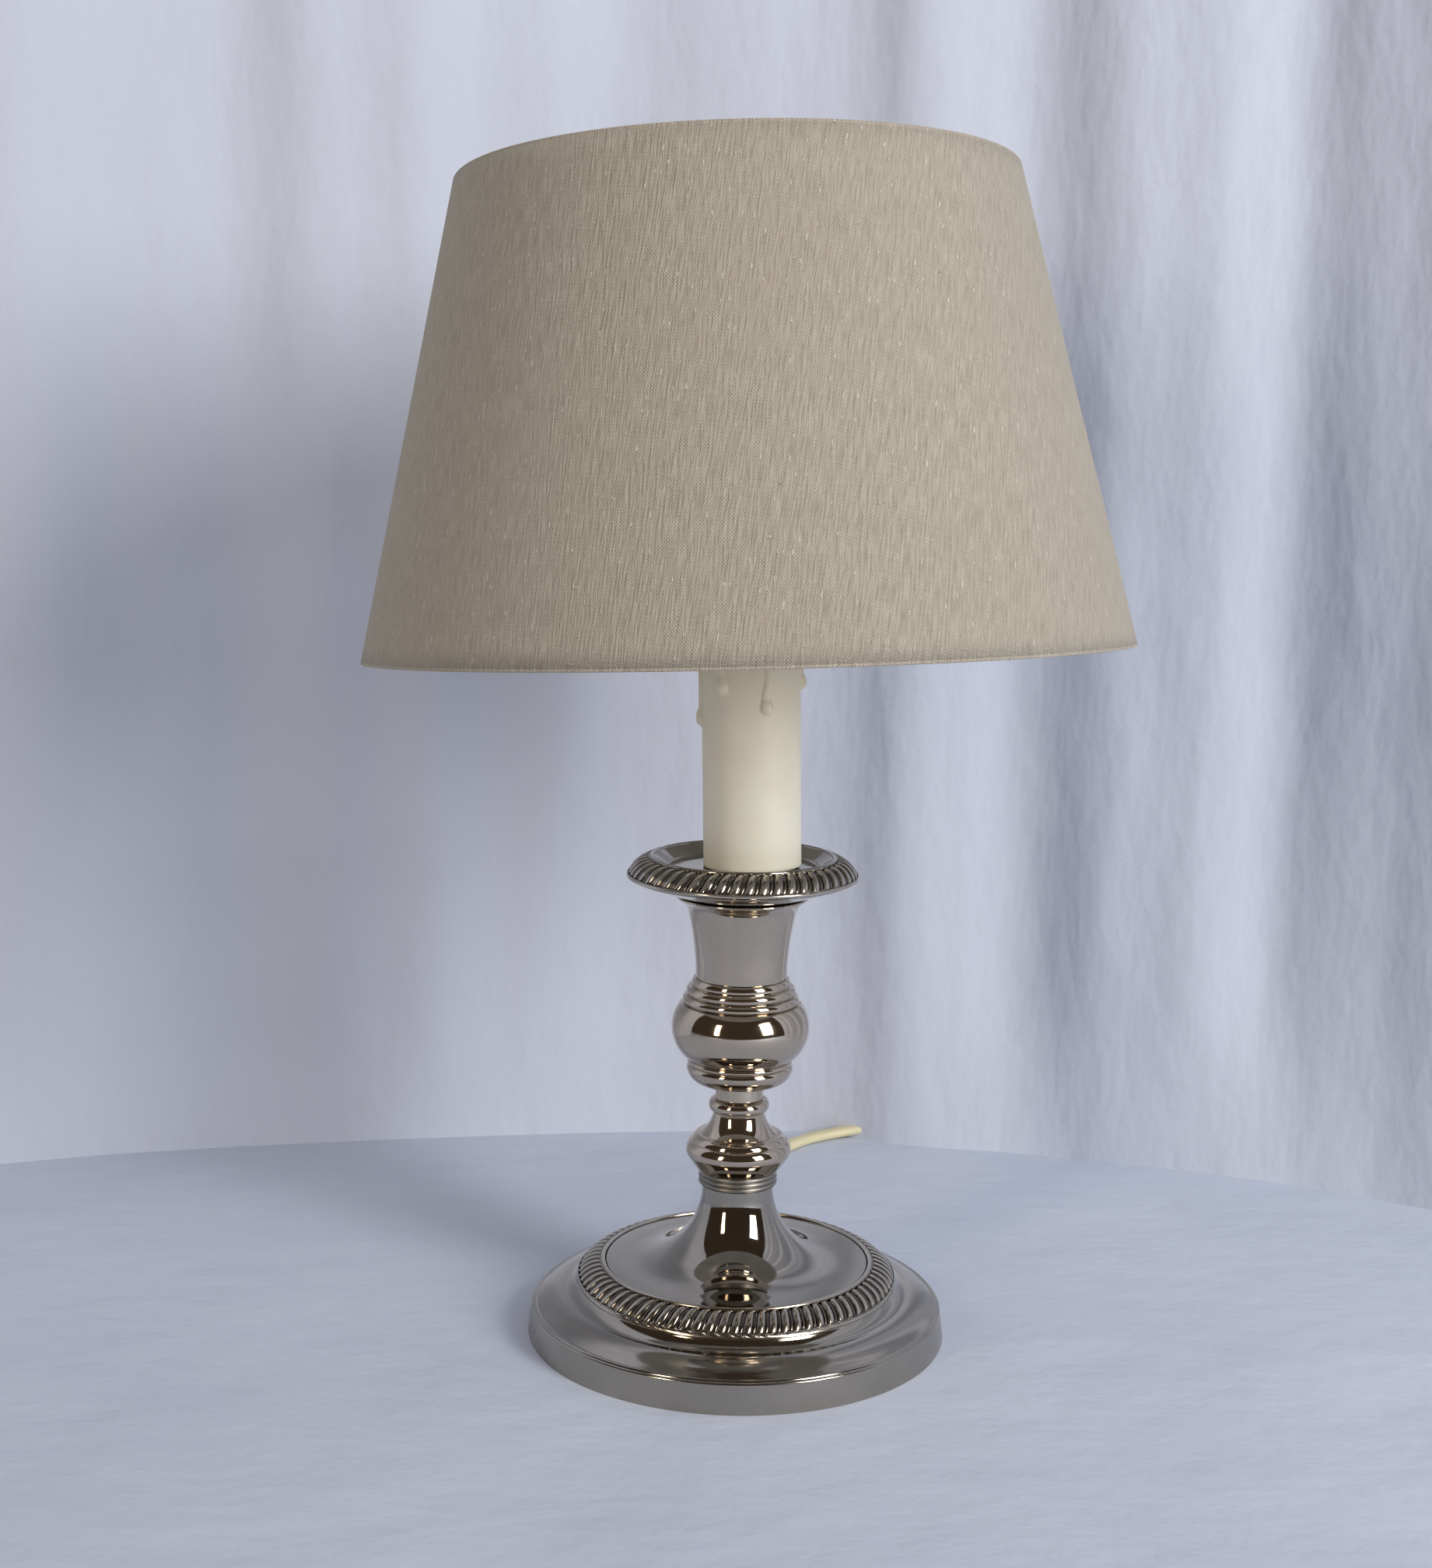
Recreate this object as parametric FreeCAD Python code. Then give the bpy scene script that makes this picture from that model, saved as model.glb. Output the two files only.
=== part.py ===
import FreeCAD, Part
import math
import os
from FreeCAD import Placement, Rotation, Vector

# Candlestick lamp: a plated stick with a gadrooned foot and drip pan, a candle sleeve over the
# lampholder, a linen shade that clips on the bulb, and a flat lead with a hand switch and a plug.
# Millimetres. +Z is up, the origin is the middle of the ring that the foot stands on, the front
# is -Y, and the lead leaves at the back, +Y.

os.makedirs("parts", exist_ok=True)

# Clearances
run_gap = 0.05            # a pin or a thread in its hole, on the radius
seat_gap = 0.05           # a loose piece over the face it stands on
soft_gap = 0.25           # a sprung wire beside the glass that it grips

# Foot: skirt with a beaded rim, a hollow shoulder and a flat deck, pressed from one sheet
foot_r = 57.0
foot_wall = 1.3
skirt_h = 7.4
skirt_taper = 1.0
rim_bead = 0.5
shoulder_r = 47.5
shoulder_h = 11.6
deck_r = 43.5
deck_h = 14.2
deck_wall = 1.2
shoulder_bulge = 0.45     # how far the shoulder stands out of a straight line
cove_dip_r = 0.55
cove_dip_h = 0.45

# Gadrooned border on the deck, and the dish with the trumpet neck inside it
border_r = 43.3
border_edge = 1.3
border_in_r = 36.0
border_rise = 5.2
border_crown_r = 0.12     # how far the crown stands out, as a share of the rise
border_crown_h = 0.14
bead_r = 0.6
lobe_count = 80
lobe_slant = 28.0         # degrees that each groove leans from straight up the border
groove_w = 0.8
dish_gap = 0.25
dish_edge_h = 5.3
dish_low_r = 30.0
dish_low_h = 5.55
trumpet_r = 15.2
trumpet_rise = 12.2
trumpet_top_r = 9.6
flare_dip_r = 0.66        # how far the dish's curve falls inside a straight line, and the neck's
flare_dip_h = 1.47
neck_dip_r = 1.45
neck_dip_h = 0.55
dish_h = 27.0

# Turned pieces of the stem, from the foot up: height and radii
collar_h = 4.0
collar_r = 10.7
collar_groove = 0.35
knop_h = 10.2
knop_r = 14.3
knop_foot_r = 11.0
knop_top_r = 10.6
knop_line_r = 13.2
knop_round_at = 0.41      # heights up the knop: where the rounded foot ends, the belly, the turned line
knop_belly_at = 0.57
knop_line_at = 0.80
cone_h = 5.9
cone_foot_r = 10.4
cone_top_r = 6.9
ring_bead_h = 4.0
ring_bead_r = 8.25
neck_h = 3.6
neck_r = 6.45
ball_foot_h = 7.4
ball_foot_r = 14.3
ball_foot_low_r = 9.8
ball_h = 15.4
ball_r = 18.7
ball_belly_h = 8.7
ball_round = 10.5
step_h = 7.0
step_low_r = 15.4
step_mid_r = 14.4
step_top_r = 13.2
vase_h = 22.4
vase_foot_r = 12.3
vase_top_r = 14.7
vase_flare_h = 3.6
vase_lip_h = 0.7
vase_lip_r = 17.7

# Drip pan with its own gadrooned border
pan_h = 7.9
pan_r = 31.15
pan_edge_h = 5.2
pan_edge = 0.6
pan_seat_r = 25.2
pan_seat_h = 9.2
pan_in_r = 24.0
pan_lip_h = 10.9
pan_floor_r = 21.0
pan_border_crown = 1.1
pan_lobe_count = 50
pan_lobe_slant = 34.0
pan_groove_w = 0.9

# Threaded tube that draws the stack together, its nuts, and the weight in the foot
rod_r = 5.0
rod_bore = 3.6
rod_low = 5.8
knee_rise = 1.0           # how far over the upper nut the tube is bent
nut_flat = 14.0
nut_h = 3.0
washer_r = 10.0
washer_h = 1.0
weight_r = 48.0
weight_step = 8.6
weight_boss_r = 30.0
cover_r = 51.8
cover_h = 1.0
felt_h = 1.0
nut_pocket_r = 13.0
lead_slot = 7.0
lead_slot_h = 4.9

# Candle group: it leans to the left, because the tube is a little bent above the pan
candle_lean = 1.4
sleeve_h = 85.0
sleeve_r = 13.1
sleeve_wall = 1.1
sleeve_shift = 2.5
drip_rise = 0.8           # how far a run of wax stands out of the sleeve
drip_end_rise = 1.35
# Wax runs: angle about the sleeve, height of the lower end, radius
drips = [(-178, 37.5, 2.0), (-160, 55, 1.7), (-123, 45.5, 1.6), (-98, 58, 1.5), (-72, 41.5, 1.4),
         (-40, 60, 1.6), (-6, 48, 1.8), (9, 37, 1.3), (38, 56, 1.7), (75, 43, 1.6), (112, 60, 1.8),
         (150, 47, 1.7)]
drip_width = 0.8          # width of a run as a share of the drop at its end

# Lampholder for a small screw cap, heights above the pan's floor: it ends just inside the sleeve
holder_low = sleeve_h - 55.0
holder_seat = sleeve_h - 48.0
holder_boss_r = 7.0
holder_r = 9.3
holder_wall = 1.4
holder_flange_h = 3.0
holder_top = sleeve_h - 1.0
block_h = 14.0
shell_wall = 0.85
shell_top = sleeve_h - 4.0
tongue_h = 4.5
tongue_w = 3.0

# Candle bulb, heights above the pan's floor
cap_r = 6.95
cap_wall = 0.35
cap_low = sleeve_h - 23.0
cap_high = sleeve_h - 4.0
cap_skirt_h = 5.0
cap_skirt_r = 8.4
tip_r = 2.3
tip_h = 0.9
glass_r = 17.5
glass_wall = 0.8
glass_neck_r = 6.1
glass_foot_r = 8.3
glass_lift = 0.3
glass_belly_h = sleeve_h + 26.0
glass_shoulder_h = 42.0
glass_shoulder_r = 5.5
mount_r = 2.2
mount_top = glass_belly_h - 7.0
filament_r = 0.3
filament_h = glass_belly_h + 11.0
filament_loop = 10.0
filament_half = 5.0
filament_bends = 8

# Spring clip on the bulb, its rivet, and the yoke that lets the shade turn and tilt
crown_r = 6.0
crown_h = 1.6
crown_gap = 0.8
clip_wire = 0.8
clip_low = glass_belly_h - 6.0
clip_half_deg = 34.0
clip_shoulder_h = glass_belly_h + 19.0
rivet_r = 1.6
rivet_head_r = 2.8
rivet_head_h = 0.8
yoke_r = 6.0
yoke_h = 1.2
ear_gap = 8.2
ear_wall = 1.2
ear_w = 5.0
pin_rise = 3.8
pin_r = 1.2
pin_head_r = 2.0
pin_head_h = 0.8
hub_r = 2.2
hub_side_gap = 0.2
post_r = 1.5
post_h = 8.5

# Shade: a rolled linen cone on a lining, hung from a wire frame; it leans a little as photographed
shade_r = 100.0
shade_top_r = 72.0
shade_h = 121.0
shade_drop = 106.0        # from the tilt pin down to the lower rim, along the shade's axis
shade_lean = 2.77
shade_lean_turn = 19.0    # where the tilt pin points, turned from +X about the bulb
fabric_wall = 0.6
lining_wall = 0.5
frame_wire = 1.25
frame_drop = 1.8
hem_h = 4.0
hem_wall = 0.35

# Flat twin lead, its strain relief, hand switch, coil and plug
cord_w = 5.2
cord_t = 3.2
core_r = 0.95
core_gap = 1.15
core_bend = 2.6
core_knee = 3.5           # length of each leg of the cores' bend in the bent tube
exit_h = 4.3
sheath_end = 24.0
relief_l = 22.0
relief_r = 4.0
relief_tip_r = 3.2
relief_neck_r = 3.1
relief_inside = 1.6
wedge_l = 6.0
wedge_in = 4.0            # from the sheath's end to the wedge
switch_at = (92.0, 177.0)
switch_turn = 9.0
switch_l = 52.0
switch_w = 20.0
switch_h = 14.0
switch_split = 6.5
switch_round = 4.0
switch_floor = 1.4
switch_wall = 1.6
grip_l = 7.0              # how far each end of the lead reaches into the switch
rocker_l = 15.0
rocker_w = 9.0
rocker_rise = 1.6
rocker_deg = 7.0
rocker_gap = 0.4
rocker_pin_r = 0.75
rocker_foot = 2.4         # half the length of its underside, how deep that hangs, and its ends' level
rocker_deep = 2.6
rocker_end_h = 0.2
rocker_bevel = 0.6
rocker_dip = 1.2
rocker_sink = 3.4         # from the switch's top down to the pin
screw_x = 14.0
screw_r = 1.6
screw_head_r = 2.9
screw_boss_r = 3.6
screw_sink = 1.6
screw_grip = 3.5
coil_at = (112.0, 237.0)
coil_turn_gap = 0.6
coil_inner_r = 21.6
coil_half_turns = 6       # half turns on the lower layer
plug_at = (60.9, 252.9)
plug_turn = 235.0
plug_l = 36.0
plug_w = 26.0
plug_h = 14.0
plug_back_w = 12.0
plug_back_h = 10.0
plug_neck = 6.0
plug_lead_in = 8.6        # last straight stretch of the lead before the plug
plug_neck_r = 3.6
plug_pin_r = 2.0
plug_pin_l = 19.0
plug_pin_gap = 18.6
plug_round = 3.0
tie_w = 7.0
tie_t = 0.8
tie_gap = 0.5
tie_slack = 0.4
tie_turn = 200.0

Z = Vector(0, 0, 1)


def save(name, shape):
    """Write one node, and say its volume."""
    if shape.ShapeType == "Compound" and len(shape.Solids) == 1:
        shape = shape.Solids[0]
    shape.exportStep("parts/" + name + ".step")
    print(name, "solids", len(shape.Solids), "valid", shape.isValid(), "cm3", round(shape.Volume / 1000, 3))
    return shape


def turned(start, *steps):
    """A body turned about Z: from start, (r, z) is a straight cut, (r, z, r, z) an arc through the first."""
    here = Vector(start[0], 0, start[1])
    first = here
    edges = []
    for step in steps:
        end = Vector(step[-2], 0, step[-1])
        if len(step) == 4:
            edges.append(Part.Arc(here, Vector(step[0], 0, step[1]), end).toShape())
        elif (end - here).Length > 1e-6:
            edges.append(Part.LineSegment(here, end).toShape())
        here = end
    if (first - here).Length > 1e-6:
        edges.append(Part.LineSegment(here, first).toShape())
    face = Part.Face(Part.Wire(edges))
    return face.revolve(Vector(0, 0, 0), Z, 360)


def tube(r_out, r_in, low, high):
    """A plain round tube or washer about Z."""
    body = Part.makeCylinder(r_out, high - low, Vector(0, 0, low))
    return body.cut(Part.makeCylinder(r_in, high - low, Vector(0, 0, low)))


def hex_nut(flat, bore, low, height):
    """A hexagon nut about Z with its thread left plain."""
    corner = flat / math.sqrt(3)
    ring = [Vector(corner * math.cos(math.radians(60 * i)), corner * math.sin(math.radians(60 * i)), low)
            for i in range(7)]
    body = Part.Face(Part.makePolygon(ring)).extrude(Vector(0, 0, height))
    return body.cut(Part.makeCylinder(bore, height, Vector(0, 0, low)))


def wire(points, radius):
    """Round wire through points, with a ball at each bend."""
    parts = []
    for a, b in zip(points, points[1:]):
        parts.append(Part.makeCylinder(radius, (b - a).Length, a, b - a))
    for p in points[1:-1]:
        parts.append(Part.makeSphere(radius, p))
    return parts[0].fuse(parts[1:]) if len(parts) > 1 else parts[0]


def circle_arc_points(centre_r, end_r, end_h, belly_h):
    """Middle of the arc that stands upright at (centre_r, belly_h) and ends at (end_r, end_h)."""
    rise = end_h - belly_h
    drop = centre_r - end_r
    radius = (rise * rise + drop * drop) / (2 * drop)
    half = math.asin(rise / radius) / 2
    return (centre_r - radius * (1 - math.cos(half)), belly_h + radius * math.sin(half)), radius


# ---------------------------------------------------------------- foot

deck_low = deck_h - deck_wall
skirt_top_r = foot_r - skirt_taper
rim_r = skirt_top_r - rim_bead
rim_in_r = rim_r - 2 * rim_bead
shoulder_mid_r = (rim_in_r + shoulder_r) / 2
shoulder_mid_h = (skirt_h + 2 * rim_bead + shoulder_h) / 2 + shoulder_bulge
cove_r = (shoulder_r + deck_r) / 2 - cove_dip_r
cove_h = (shoulder_h + deck_h) / 2 - cove_dip_h


def foot_shell():
    """Skirt, beaded rim, shoulder and deck as one pressed shell, with the hole for the strain relief."""
    rim_h = skirt_h + 2 * rim_bead
    outer = turned(
        (0, 0), (foot_r, 0), (skirt_top_r, skirt_h),
        (rim_r + rim_bead * 0.7, skirt_h + rim_bead * 0.7, rim_r, skirt_h + rim_bead),
        (rim_r - rim_bead, rim_h + rim_bead * 0.2, rim_in_r, rim_h),
        (shoulder_mid_r, shoulder_mid_h, shoulder_r, shoulder_h),
        (cove_r, cove_h, deck_r, deck_h), (0, deck_h))
    under_h = skirt_h - foot_wall * 0.2
    inner = turned(
        (0, 0), (foot_r - foot_wall, 0), (skirt_top_r - foot_wall, under_h),
        (shoulder_mid_r, shoulder_mid_h - foot_wall, shoulder_r - foot_wall / 2, shoulder_h - foot_wall),
        (deck_r - foot_wall, deck_low), (0, deck_low))
    hole = Part.makeCylinder(relief_neck_r + run_gap, foot_r, Vector(0, foot_r / 2, exit_h), Vector(0, 1, 0))
    bore = Part.makeCylinder(rod_r + run_gap, deck_h, Vector(0, 0, 0))
    return outer.cut([inner, hole, bore])


def gadrooned(strip, edge, middle, inner, count, slant, width):
    """Cut slanted grooves round a border, whose crown is the arc through edge, middle and inner."""
    start = Vector(edge[0], 0, edge[1])
    end = Vector(inner[0], 0, inner[1])
    crown = Part.Arc(start, Vector(middle[0], 0, middle[1]), end).toShape().Curve
    across = Vector(0, 1, 0)
    spoke_line = start - crown.Center
    turn = math.degrees(spoke_line.getAngle(end - crown.Center))
    disc = Part.Face(Part.Wire([Part.Circle(start, across.cross(spoke_line), width / 2).toShape()]))
    groove = disc.revolve(crown.Center, -across, turn)
    groove.rotate((start + end) * 0.5, (end - start).cross(across), slant)
    cutters = []
    for i in range(count):
        cutter = groove.copy()
        cutter.rotate(Vector(0, 0, 0), Z, 360 * i / count)
        cutters.append(cutter)
    return strip.cut(cutters)


def foot_border():
    """Gadrooned quarter-round strip on the deck, with a bead on its inner edge."""
    top = deck_h + border_rise
    bead_out = border_in_r + 2 * bead_r
    edge = (border_r, deck_h + border_edge)
    middle = ((border_r + bead_out) / 2 + border_rise * border_crown_r,
              (edge[1] + top) / 2 + border_rise * border_crown_h)
    inner = (bead_out, top)
    strip = turned(
        (border_in_r, deck_h), (border_r, deck_h), edge, (*middle, *inner),
        (bead_out - bead_r, top + bead_r, border_in_r, top))
    return gadrooned(strip, edge, middle, inner, lobe_count, lobe_slant, groove_w)


dish_r = border_in_r - dish_gap
foot_top = deck_h + dish_h


def foot_dish():
    """The polished dish and the trumpet neck, one casting that stands on the deck."""
    low = deck_h
    neck_mid_r = (trumpet_r + trumpet_top_r) / 2 - neck_dip_r
    neck_mid_h = low + (trumpet_rise + dish_h) / 2 - neck_dip_h
    flare_mid_r = (dish_low_r + trumpet_r) / 2 - flare_dip_r
    flare_mid_h = low + (dish_low_h + trumpet_rise) / 2 - flare_dip_h
    bore = rod_r + run_gap
    return turned(
        (bore, low), (dish_r, low), (dish_r, low + dish_edge_h), (dish_low_r, low + dish_low_h),
        (flare_mid_r, flare_mid_h, trumpet_r, low + trumpet_rise),
        (neck_mid_r, neck_mid_h, trumpet_top_r, low + dish_h), (bore, low + dish_h))


# ---------------------------------------------------------------- turned stem

bore_r = rod_r + run_gap
collar_z = foot_top
knop_z = collar_z + collar_h
cone_z = knop_z + knop_h
ball_foot_z = cone_z + cone_h + ring_bead_h + neck_h
ball_z = ball_foot_z + ball_foot_h
step_z = ball_z + ball_h
vase_z = step_z + step_h
pan_z = vase_z + vase_h
floor_z = pan_z + pan_h


def neck_collar():
    """The dull collar under the knop, with two fine grooves turned in it."""
    third = collar_h / 3
    steps = []
    for i in range(3):
        top = collar_z + third * (i + 1)
        steps += [(collar_r, top - third * 0.5, collar_r - collar_groove, top)]
    return turned((bore_r, collar_z), (collar_r - collar_groove, collar_z), *steps, (bore_r, knop_z))


def lower_knop():
    """The flattened knop: rounded below, with a turned line near its top."""
    z = knop_z
    belly = z + knop_h * knop_belly_at
    line = z + knop_h * knop_line_at
    top = z + knop_h
    return turned(
        (bore_r, z), (knop_foot_r, z),
        (knop_foot_r + 1.7, z + knop_h * 0.22, knop_r - 0.35, z + knop_h * knop_round_at),
        (knop_r, belly, knop_line_r, line), (knop_line_r - 0.45, line + 0.1),
        ((knop_line_r + knop_top_r) / 2 + 0.5, (line + top) / 2, knop_top_r, top), (bore_r, top))


def stem_neck():
    """Hollow cone, ring bead and narrow neck, turned as one piece."""
    z = cone_z
    bead_z = z + cone_h
    neck_z = bead_z + ring_bead_h
    top = neck_z + neck_h
    return turned(
        (bore_r, z), (cone_foot_r, z), (cone_top_r + 1.25, z + cone_h * 0.42, cone_top_r, bead_z),
        (ring_bead_r, bead_z + ring_bead_h / 2, neck_r, neck_z), (neck_r, top), (bore_r, top))


def ball_foot():
    """The ring that carries the ball: a half-round with a fine fillet over it."""
    z = ball_foot_z
    top = z + ball_foot_h
    line = top - 1.3
    return turned(
        (bore_r, z), (ball_foot_low_r - 2.4, z), (ball_foot_low_r, z + 0.7),
        (ball_foot_r - 1.0, z + ball_foot_h * 0.30, ball_foot_r, z + ball_foot_h * 0.56),
        (ball_foot_r - 0.15, line - 0.5, ball_foot_r - 0.7, line), (ball_foot_r - 0.2, line + 0.15),
        (ball_foot_r - 0.1, line + 0.6, ball_foot_r - 0.7, top), (bore_r, top))


def ball_knop():
    """The large polished ball."""
    z = ball_z
    top = z + ball_h
    middle_r = ball_r - ball_round
    low_r = middle_r + math.sqrt(ball_round ** 2 - ball_belly_h ** 2)
    top_r = middle_r + math.sqrt(ball_round ** 2 - (ball_h - ball_belly_h) ** 2)
    return turned((bore_r, z), (low_r, z), (ball_r, z + ball_belly_h, top_r, top), (bore_r, top))


def stepped_rings():
    """Three stepped rings between the ball and the vase."""
    z = step_z
    third = step_h / 3
    return turned(
        (bore_r, z), (step_low_r, z), (step_low_r + 0.35, z + third / 2, step_low_r - 0.4, z + third),
        (step_mid_r, z + third), (step_mid_r + 0.35, z + third * 1.5, step_mid_r - 0.3, z + third * 2),
        (step_top_r, z + third * 2), (step_top_r + 0.1, z + third * 2.5, step_top_r - 0.5, z + step_h),
        (bore_r, z + step_h))


def vase_socket():
    """The vase under the drip pan: slim at its foot and flaring to a lip."""
    z = vase_z
    top = z + vase_h
    flare = top - vase_flare_h
    lip = top - vase_lip_h
    return turned(
        (bore_r, z), (vase_foot_r, z),
        ((vase_foot_r + vase_top_r) / 2 - 0.55, (z + flare) / 2, vase_top_r, flare),
        (vase_top_r + 0.9, (flare + lip) / 2, vase_lip_r - 0.4, lip),
        (vase_lip_r, (lip + top) / 2, vase_lip_r - 0.4, top), (bore_r, top))


def drip_pan():
    """The pan that the candle stands in: a flat floor inside a rounded lip, and a raised underside."""
    z = pan_z
    return turned(
        (bore_r, z), (vase_lip_r - 1.0, z), (pan_r - pan_edge * 2, z + pan_edge_h - pan_edge),
        (pan_r - pan_edge, z + pan_edge_h), (pan_seat_r, z + pan_seat_h),
        (pan_seat_r, z + pan_lip_h - bead_r),
        ((pan_seat_r + pan_in_r) / 2, z + pan_lip_h, pan_in_r, z + pan_lip_h - bead_r),
        (pan_floor_r, z + pan_h), (bore_r, z + pan_h))


def pan_border():
    """The pan's gadrooned border, on its sloping seat."""
    z = pan_z
    edge = (pan_r - pan_edge * 0.8, z + pan_edge_h + pan_edge)
    inner = (pan_seat_r, z + pan_lip_h - bead_r)
    raised = pan_border_crown * 0.7
    middle = ((edge[0] + inner[0]) / 2 + raised, (edge[1] + inner[1]) / 2 + raised)
    strip = turned(
        (pan_r - pan_edge, z + pan_edge_h), (pan_r, z + pan_edge_h), (pan_r, z + pan_edge_h + pan_edge), edge,
        (*middle, *inner), (pan_seat_r, z + pan_seat_h))
    return gadrooned(strip, edge, middle, inner, pan_lobe_count, pan_lobe_slant, pan_groove_w)


# ---------------------------------------------------------------- inside the foot

cover_low = felt_h
weight_low = cover_low + cover_h
washer_top = rod_low + 0.2 + nut_h + washer_h


def base_weight():
    """Cast weight with a pocket for the nut and a slot for the lead, clamped up against the deck."""
    body = turned(
        (bore_r + 0.5, weight_low), (weight_r, weight_low), (weight_r, weight_step),
        (weight_boss_r, weight_step), (weight_boss_r, deck_low), (bore_r + 0.5, deck_low))
    pocket = Part.makeCylinder(nut_pocket_r, washer_top - weight_low, Vector(0, 0, weight_low))
    slot = Part.makeBox(lead_slot, weight_r, lead_slot_h, Vector(-lead_slot / 2, 0, weight_low))
    return body.cut([pocket, slot])


# ---------------------------------------------------------------- candle group

candle = Placement(Vector(0, 0, floor_z), Rotation(Vector(0, 1, 0), -candle_lean))
knee_h = nut_h + knee_rise


def lean(shape):
    """Carry a shape from the upright candle's own frame, zero at the pan's floor, to the leaning one."""
    moved = shape.copy()
    moved.Placement = candle.multiply(moved.Placement)
    return moved


def threaded_tube():
    """One tube from the nut under the weight to the lampholder, bent a little above the upper nut."""
    low = Part.makeCylinder(rod_r, floor_z + knee_h - rod_low, Vector(0, 0, rod_low))
    low_hole = Part.makeCylinder(rod_bore, floor_z + knee_h - rod_low, Vector(0, 0, rod_low))
    high = lean(Part.makeCylinder(rod_r, holder_seat - knee_h, Vector(0, 0, knee_h)))
    high_hole = lean(Part.makeCylinder(rod_bore, holder_seat - knee_h, Vector(0, 0, knee_h)))
    knee = lean(Part.makeSphere(rod_r, Vector(0, 0, knee_h)))
    knee_hole = lean(Part.makeSphere(rod_bore, Vector(0, 0, knee_h)))
    return low.fuse([high, knee]).cut([low_hole, high_hole, knee_hole])


sleeve_low = (sleeve_r - sleeve_shift) * math.tan(math.radians(candle_lean)) + seat_gap
sleeve_in_r = sleeve_r - sleeve_wall


def candle_sleeve():
    """Moulded candle tube with wax runs, loose over the lampholder and leaning on its side."""
    body = Part.makeCylinder(sleeve_r, sleeve_h, Vector(0, 0, 0))
    ridges = []
    for angle, end, radius in drips:
        outward = Vector(math.cos(math.radians(angle)), math.sin(math.radians(angle)), 0)
        run = outward * (sleeve_r + drip_rise - radius * drip_width) + Z * end
        drop = outward * (sleeve_r + drip_end_rise - radius) + Z * (end + radius)
        ridges.append(Part.makeCylinder(radius * drip_width, sleeve_h - end, run))
        ridges.append(Part.makeSphere(radius, drop))
    body = body.fuse(ridges)
    body = body.cut(Part.makeCylinder(sleeve_in_r, sleeve_h, Vector(0, 0, 0)))
    body.translate(Vector(sleeve_shift, 0, sleeve_low))
    return lean(body)


flange_top = holder_seat + holder_flange_h
block_top = flange_top + block_h
holder_in_r = holder_r - holder_wall
shell_r = holder_in_r - run_gap


def holder_cap():
    """Threaded foot of the lampholder, screwed down on the tube's end."""
    return lean(turned(
        (rod_r, holder_low), (holder_boss_r, holder_low), (holder_boss_r, holder_seat),
        (holder_r, holder_seat),
        (holder_r, flange_top), (rod_bore, flange_top), (rod_bore, holder_seat), (rod_r, holder_seat)))


def centre_contact():
    """Brass strip on the block, with its sprung middle raised to the bulb."""
    strip = Part.makeBox(tongue_w * 2, tongue_w, 0.5, Vector(-tongue_w, -tongue_w / 2, block_top))
    tongue = Part.makeCone(tongue_w / 2, tongue_w / 3, tongue_h - 0.5, Vector(0, 0, block_top + 0.5))
    return lean(strip.fuse(tongue))


cap_tip_low = block_top + tongue_h + seat_gap


def bulb_cap():
    """Plated screw cap with its flared skirt."""
    skirt_top = cap_high + cap_skirt_h
    return lean(turned(
        (tip_r + 1.0, cap_low), (cap_r - 1.0, cap_low), (cap_r, cap_low + 1.0), (cap_r, cap_high),
        (cap_skirt_r, skirt_top), (cap_skirt_r - cap_wall, skirt_top), (cap_r - cap_wall, cap_high),
        (cap_r - cap_wall, cap_low + 1.2), (cap_r - 1.2, cap_low + cap_wall),
        (tip_r + 1.0, cap_low + cap_wall)))


def bulb_tip():
    """Insulating disc with the soldered contact below it."""
    return lean(turned(
        (0, cap_tip_low), (tip_r - 0.6, cap_tip_low), (tip_r, cap_tip_low + 0.5),
        (tip_r, cap_tip_low + tip_h), (tip_r + 1.0, cap_low), (tip_r + 1.0, cap_low + cap_wall),
        (0, cap_low + cap_wall)))


def bulb_glass():
    """Candle-shaped envelope, hollow and closed, with its neck cemented in the cap."""
    def solid(inset):
        r = glass_r - inset
        foot_r_in = glass_foot_r - inset
        neck = glass_neck_r - inset
        foot_h = cap_high + cap_skirt_h + glass_lift + inset
        low_mid, _ = circle_arc_points(r, foot_r_in, foot_h + 0.9, glass_belly_h)
        shoulder_h_at = glass_belly_h + glass_shoulder_h - inset * 0.4
        shoulder_r_at = glass_shoulder_r - inset * 0.8
        high_mid, big = circle_arc_points(r, shoulder_r_at, shoulder_h_at, glass_belly_h)
        turn = math.asin((shoulder_h_at - glass_belly_h) / big)
        tip = shoulder_r_at / math.cos(turn)
        tip_c = shoulder_h_at - tip * math.sin(turn)
        mid = (turn + math.pi / 2) / 2
        return turned(
            (0, cap_high - 1.0 + inset), (neck, cap_high - 1.0 + inset), (neck, foot_h - 1.2),
            (foot_r_in, foot_h), (foot_r_in, foot_h + 0.9), (*low_mid, r, glass_belly_h),
            (*high_mid, shoulder_r_at, shoulder_h_at),
            (tip * math.cos(mid), tip_c + tip * math.sin(mid), 0, tip_c + tip)), tip_c + tip
    shell, top = solid(0)
    hollow, _ = solid(glass_wall)
    return lean(shell.cut(hollow)), top


def bulb_stem():
    """Glass stem with the two lead-in wires, sealed inside the bulb."""
    low = cap_high + glass_wall - 0.95
    foot = turned((0, low), (mount_r * 2, low), (mount_r, low + 6.0), (mount_r, mount_top), (0, mount_top))
    wires = []
    for side in (-1, 1):
        wires.append(wire([Vector(side * mount_r * 0.5, 0, mount_top - 3),
                           Vector(side * mount_r * 0.8, 0, mount_top + 3),
                           Vector(side * filament_half, 0, filament_h)], filament_r))
    return lean(foot.fuse(wires))


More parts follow.
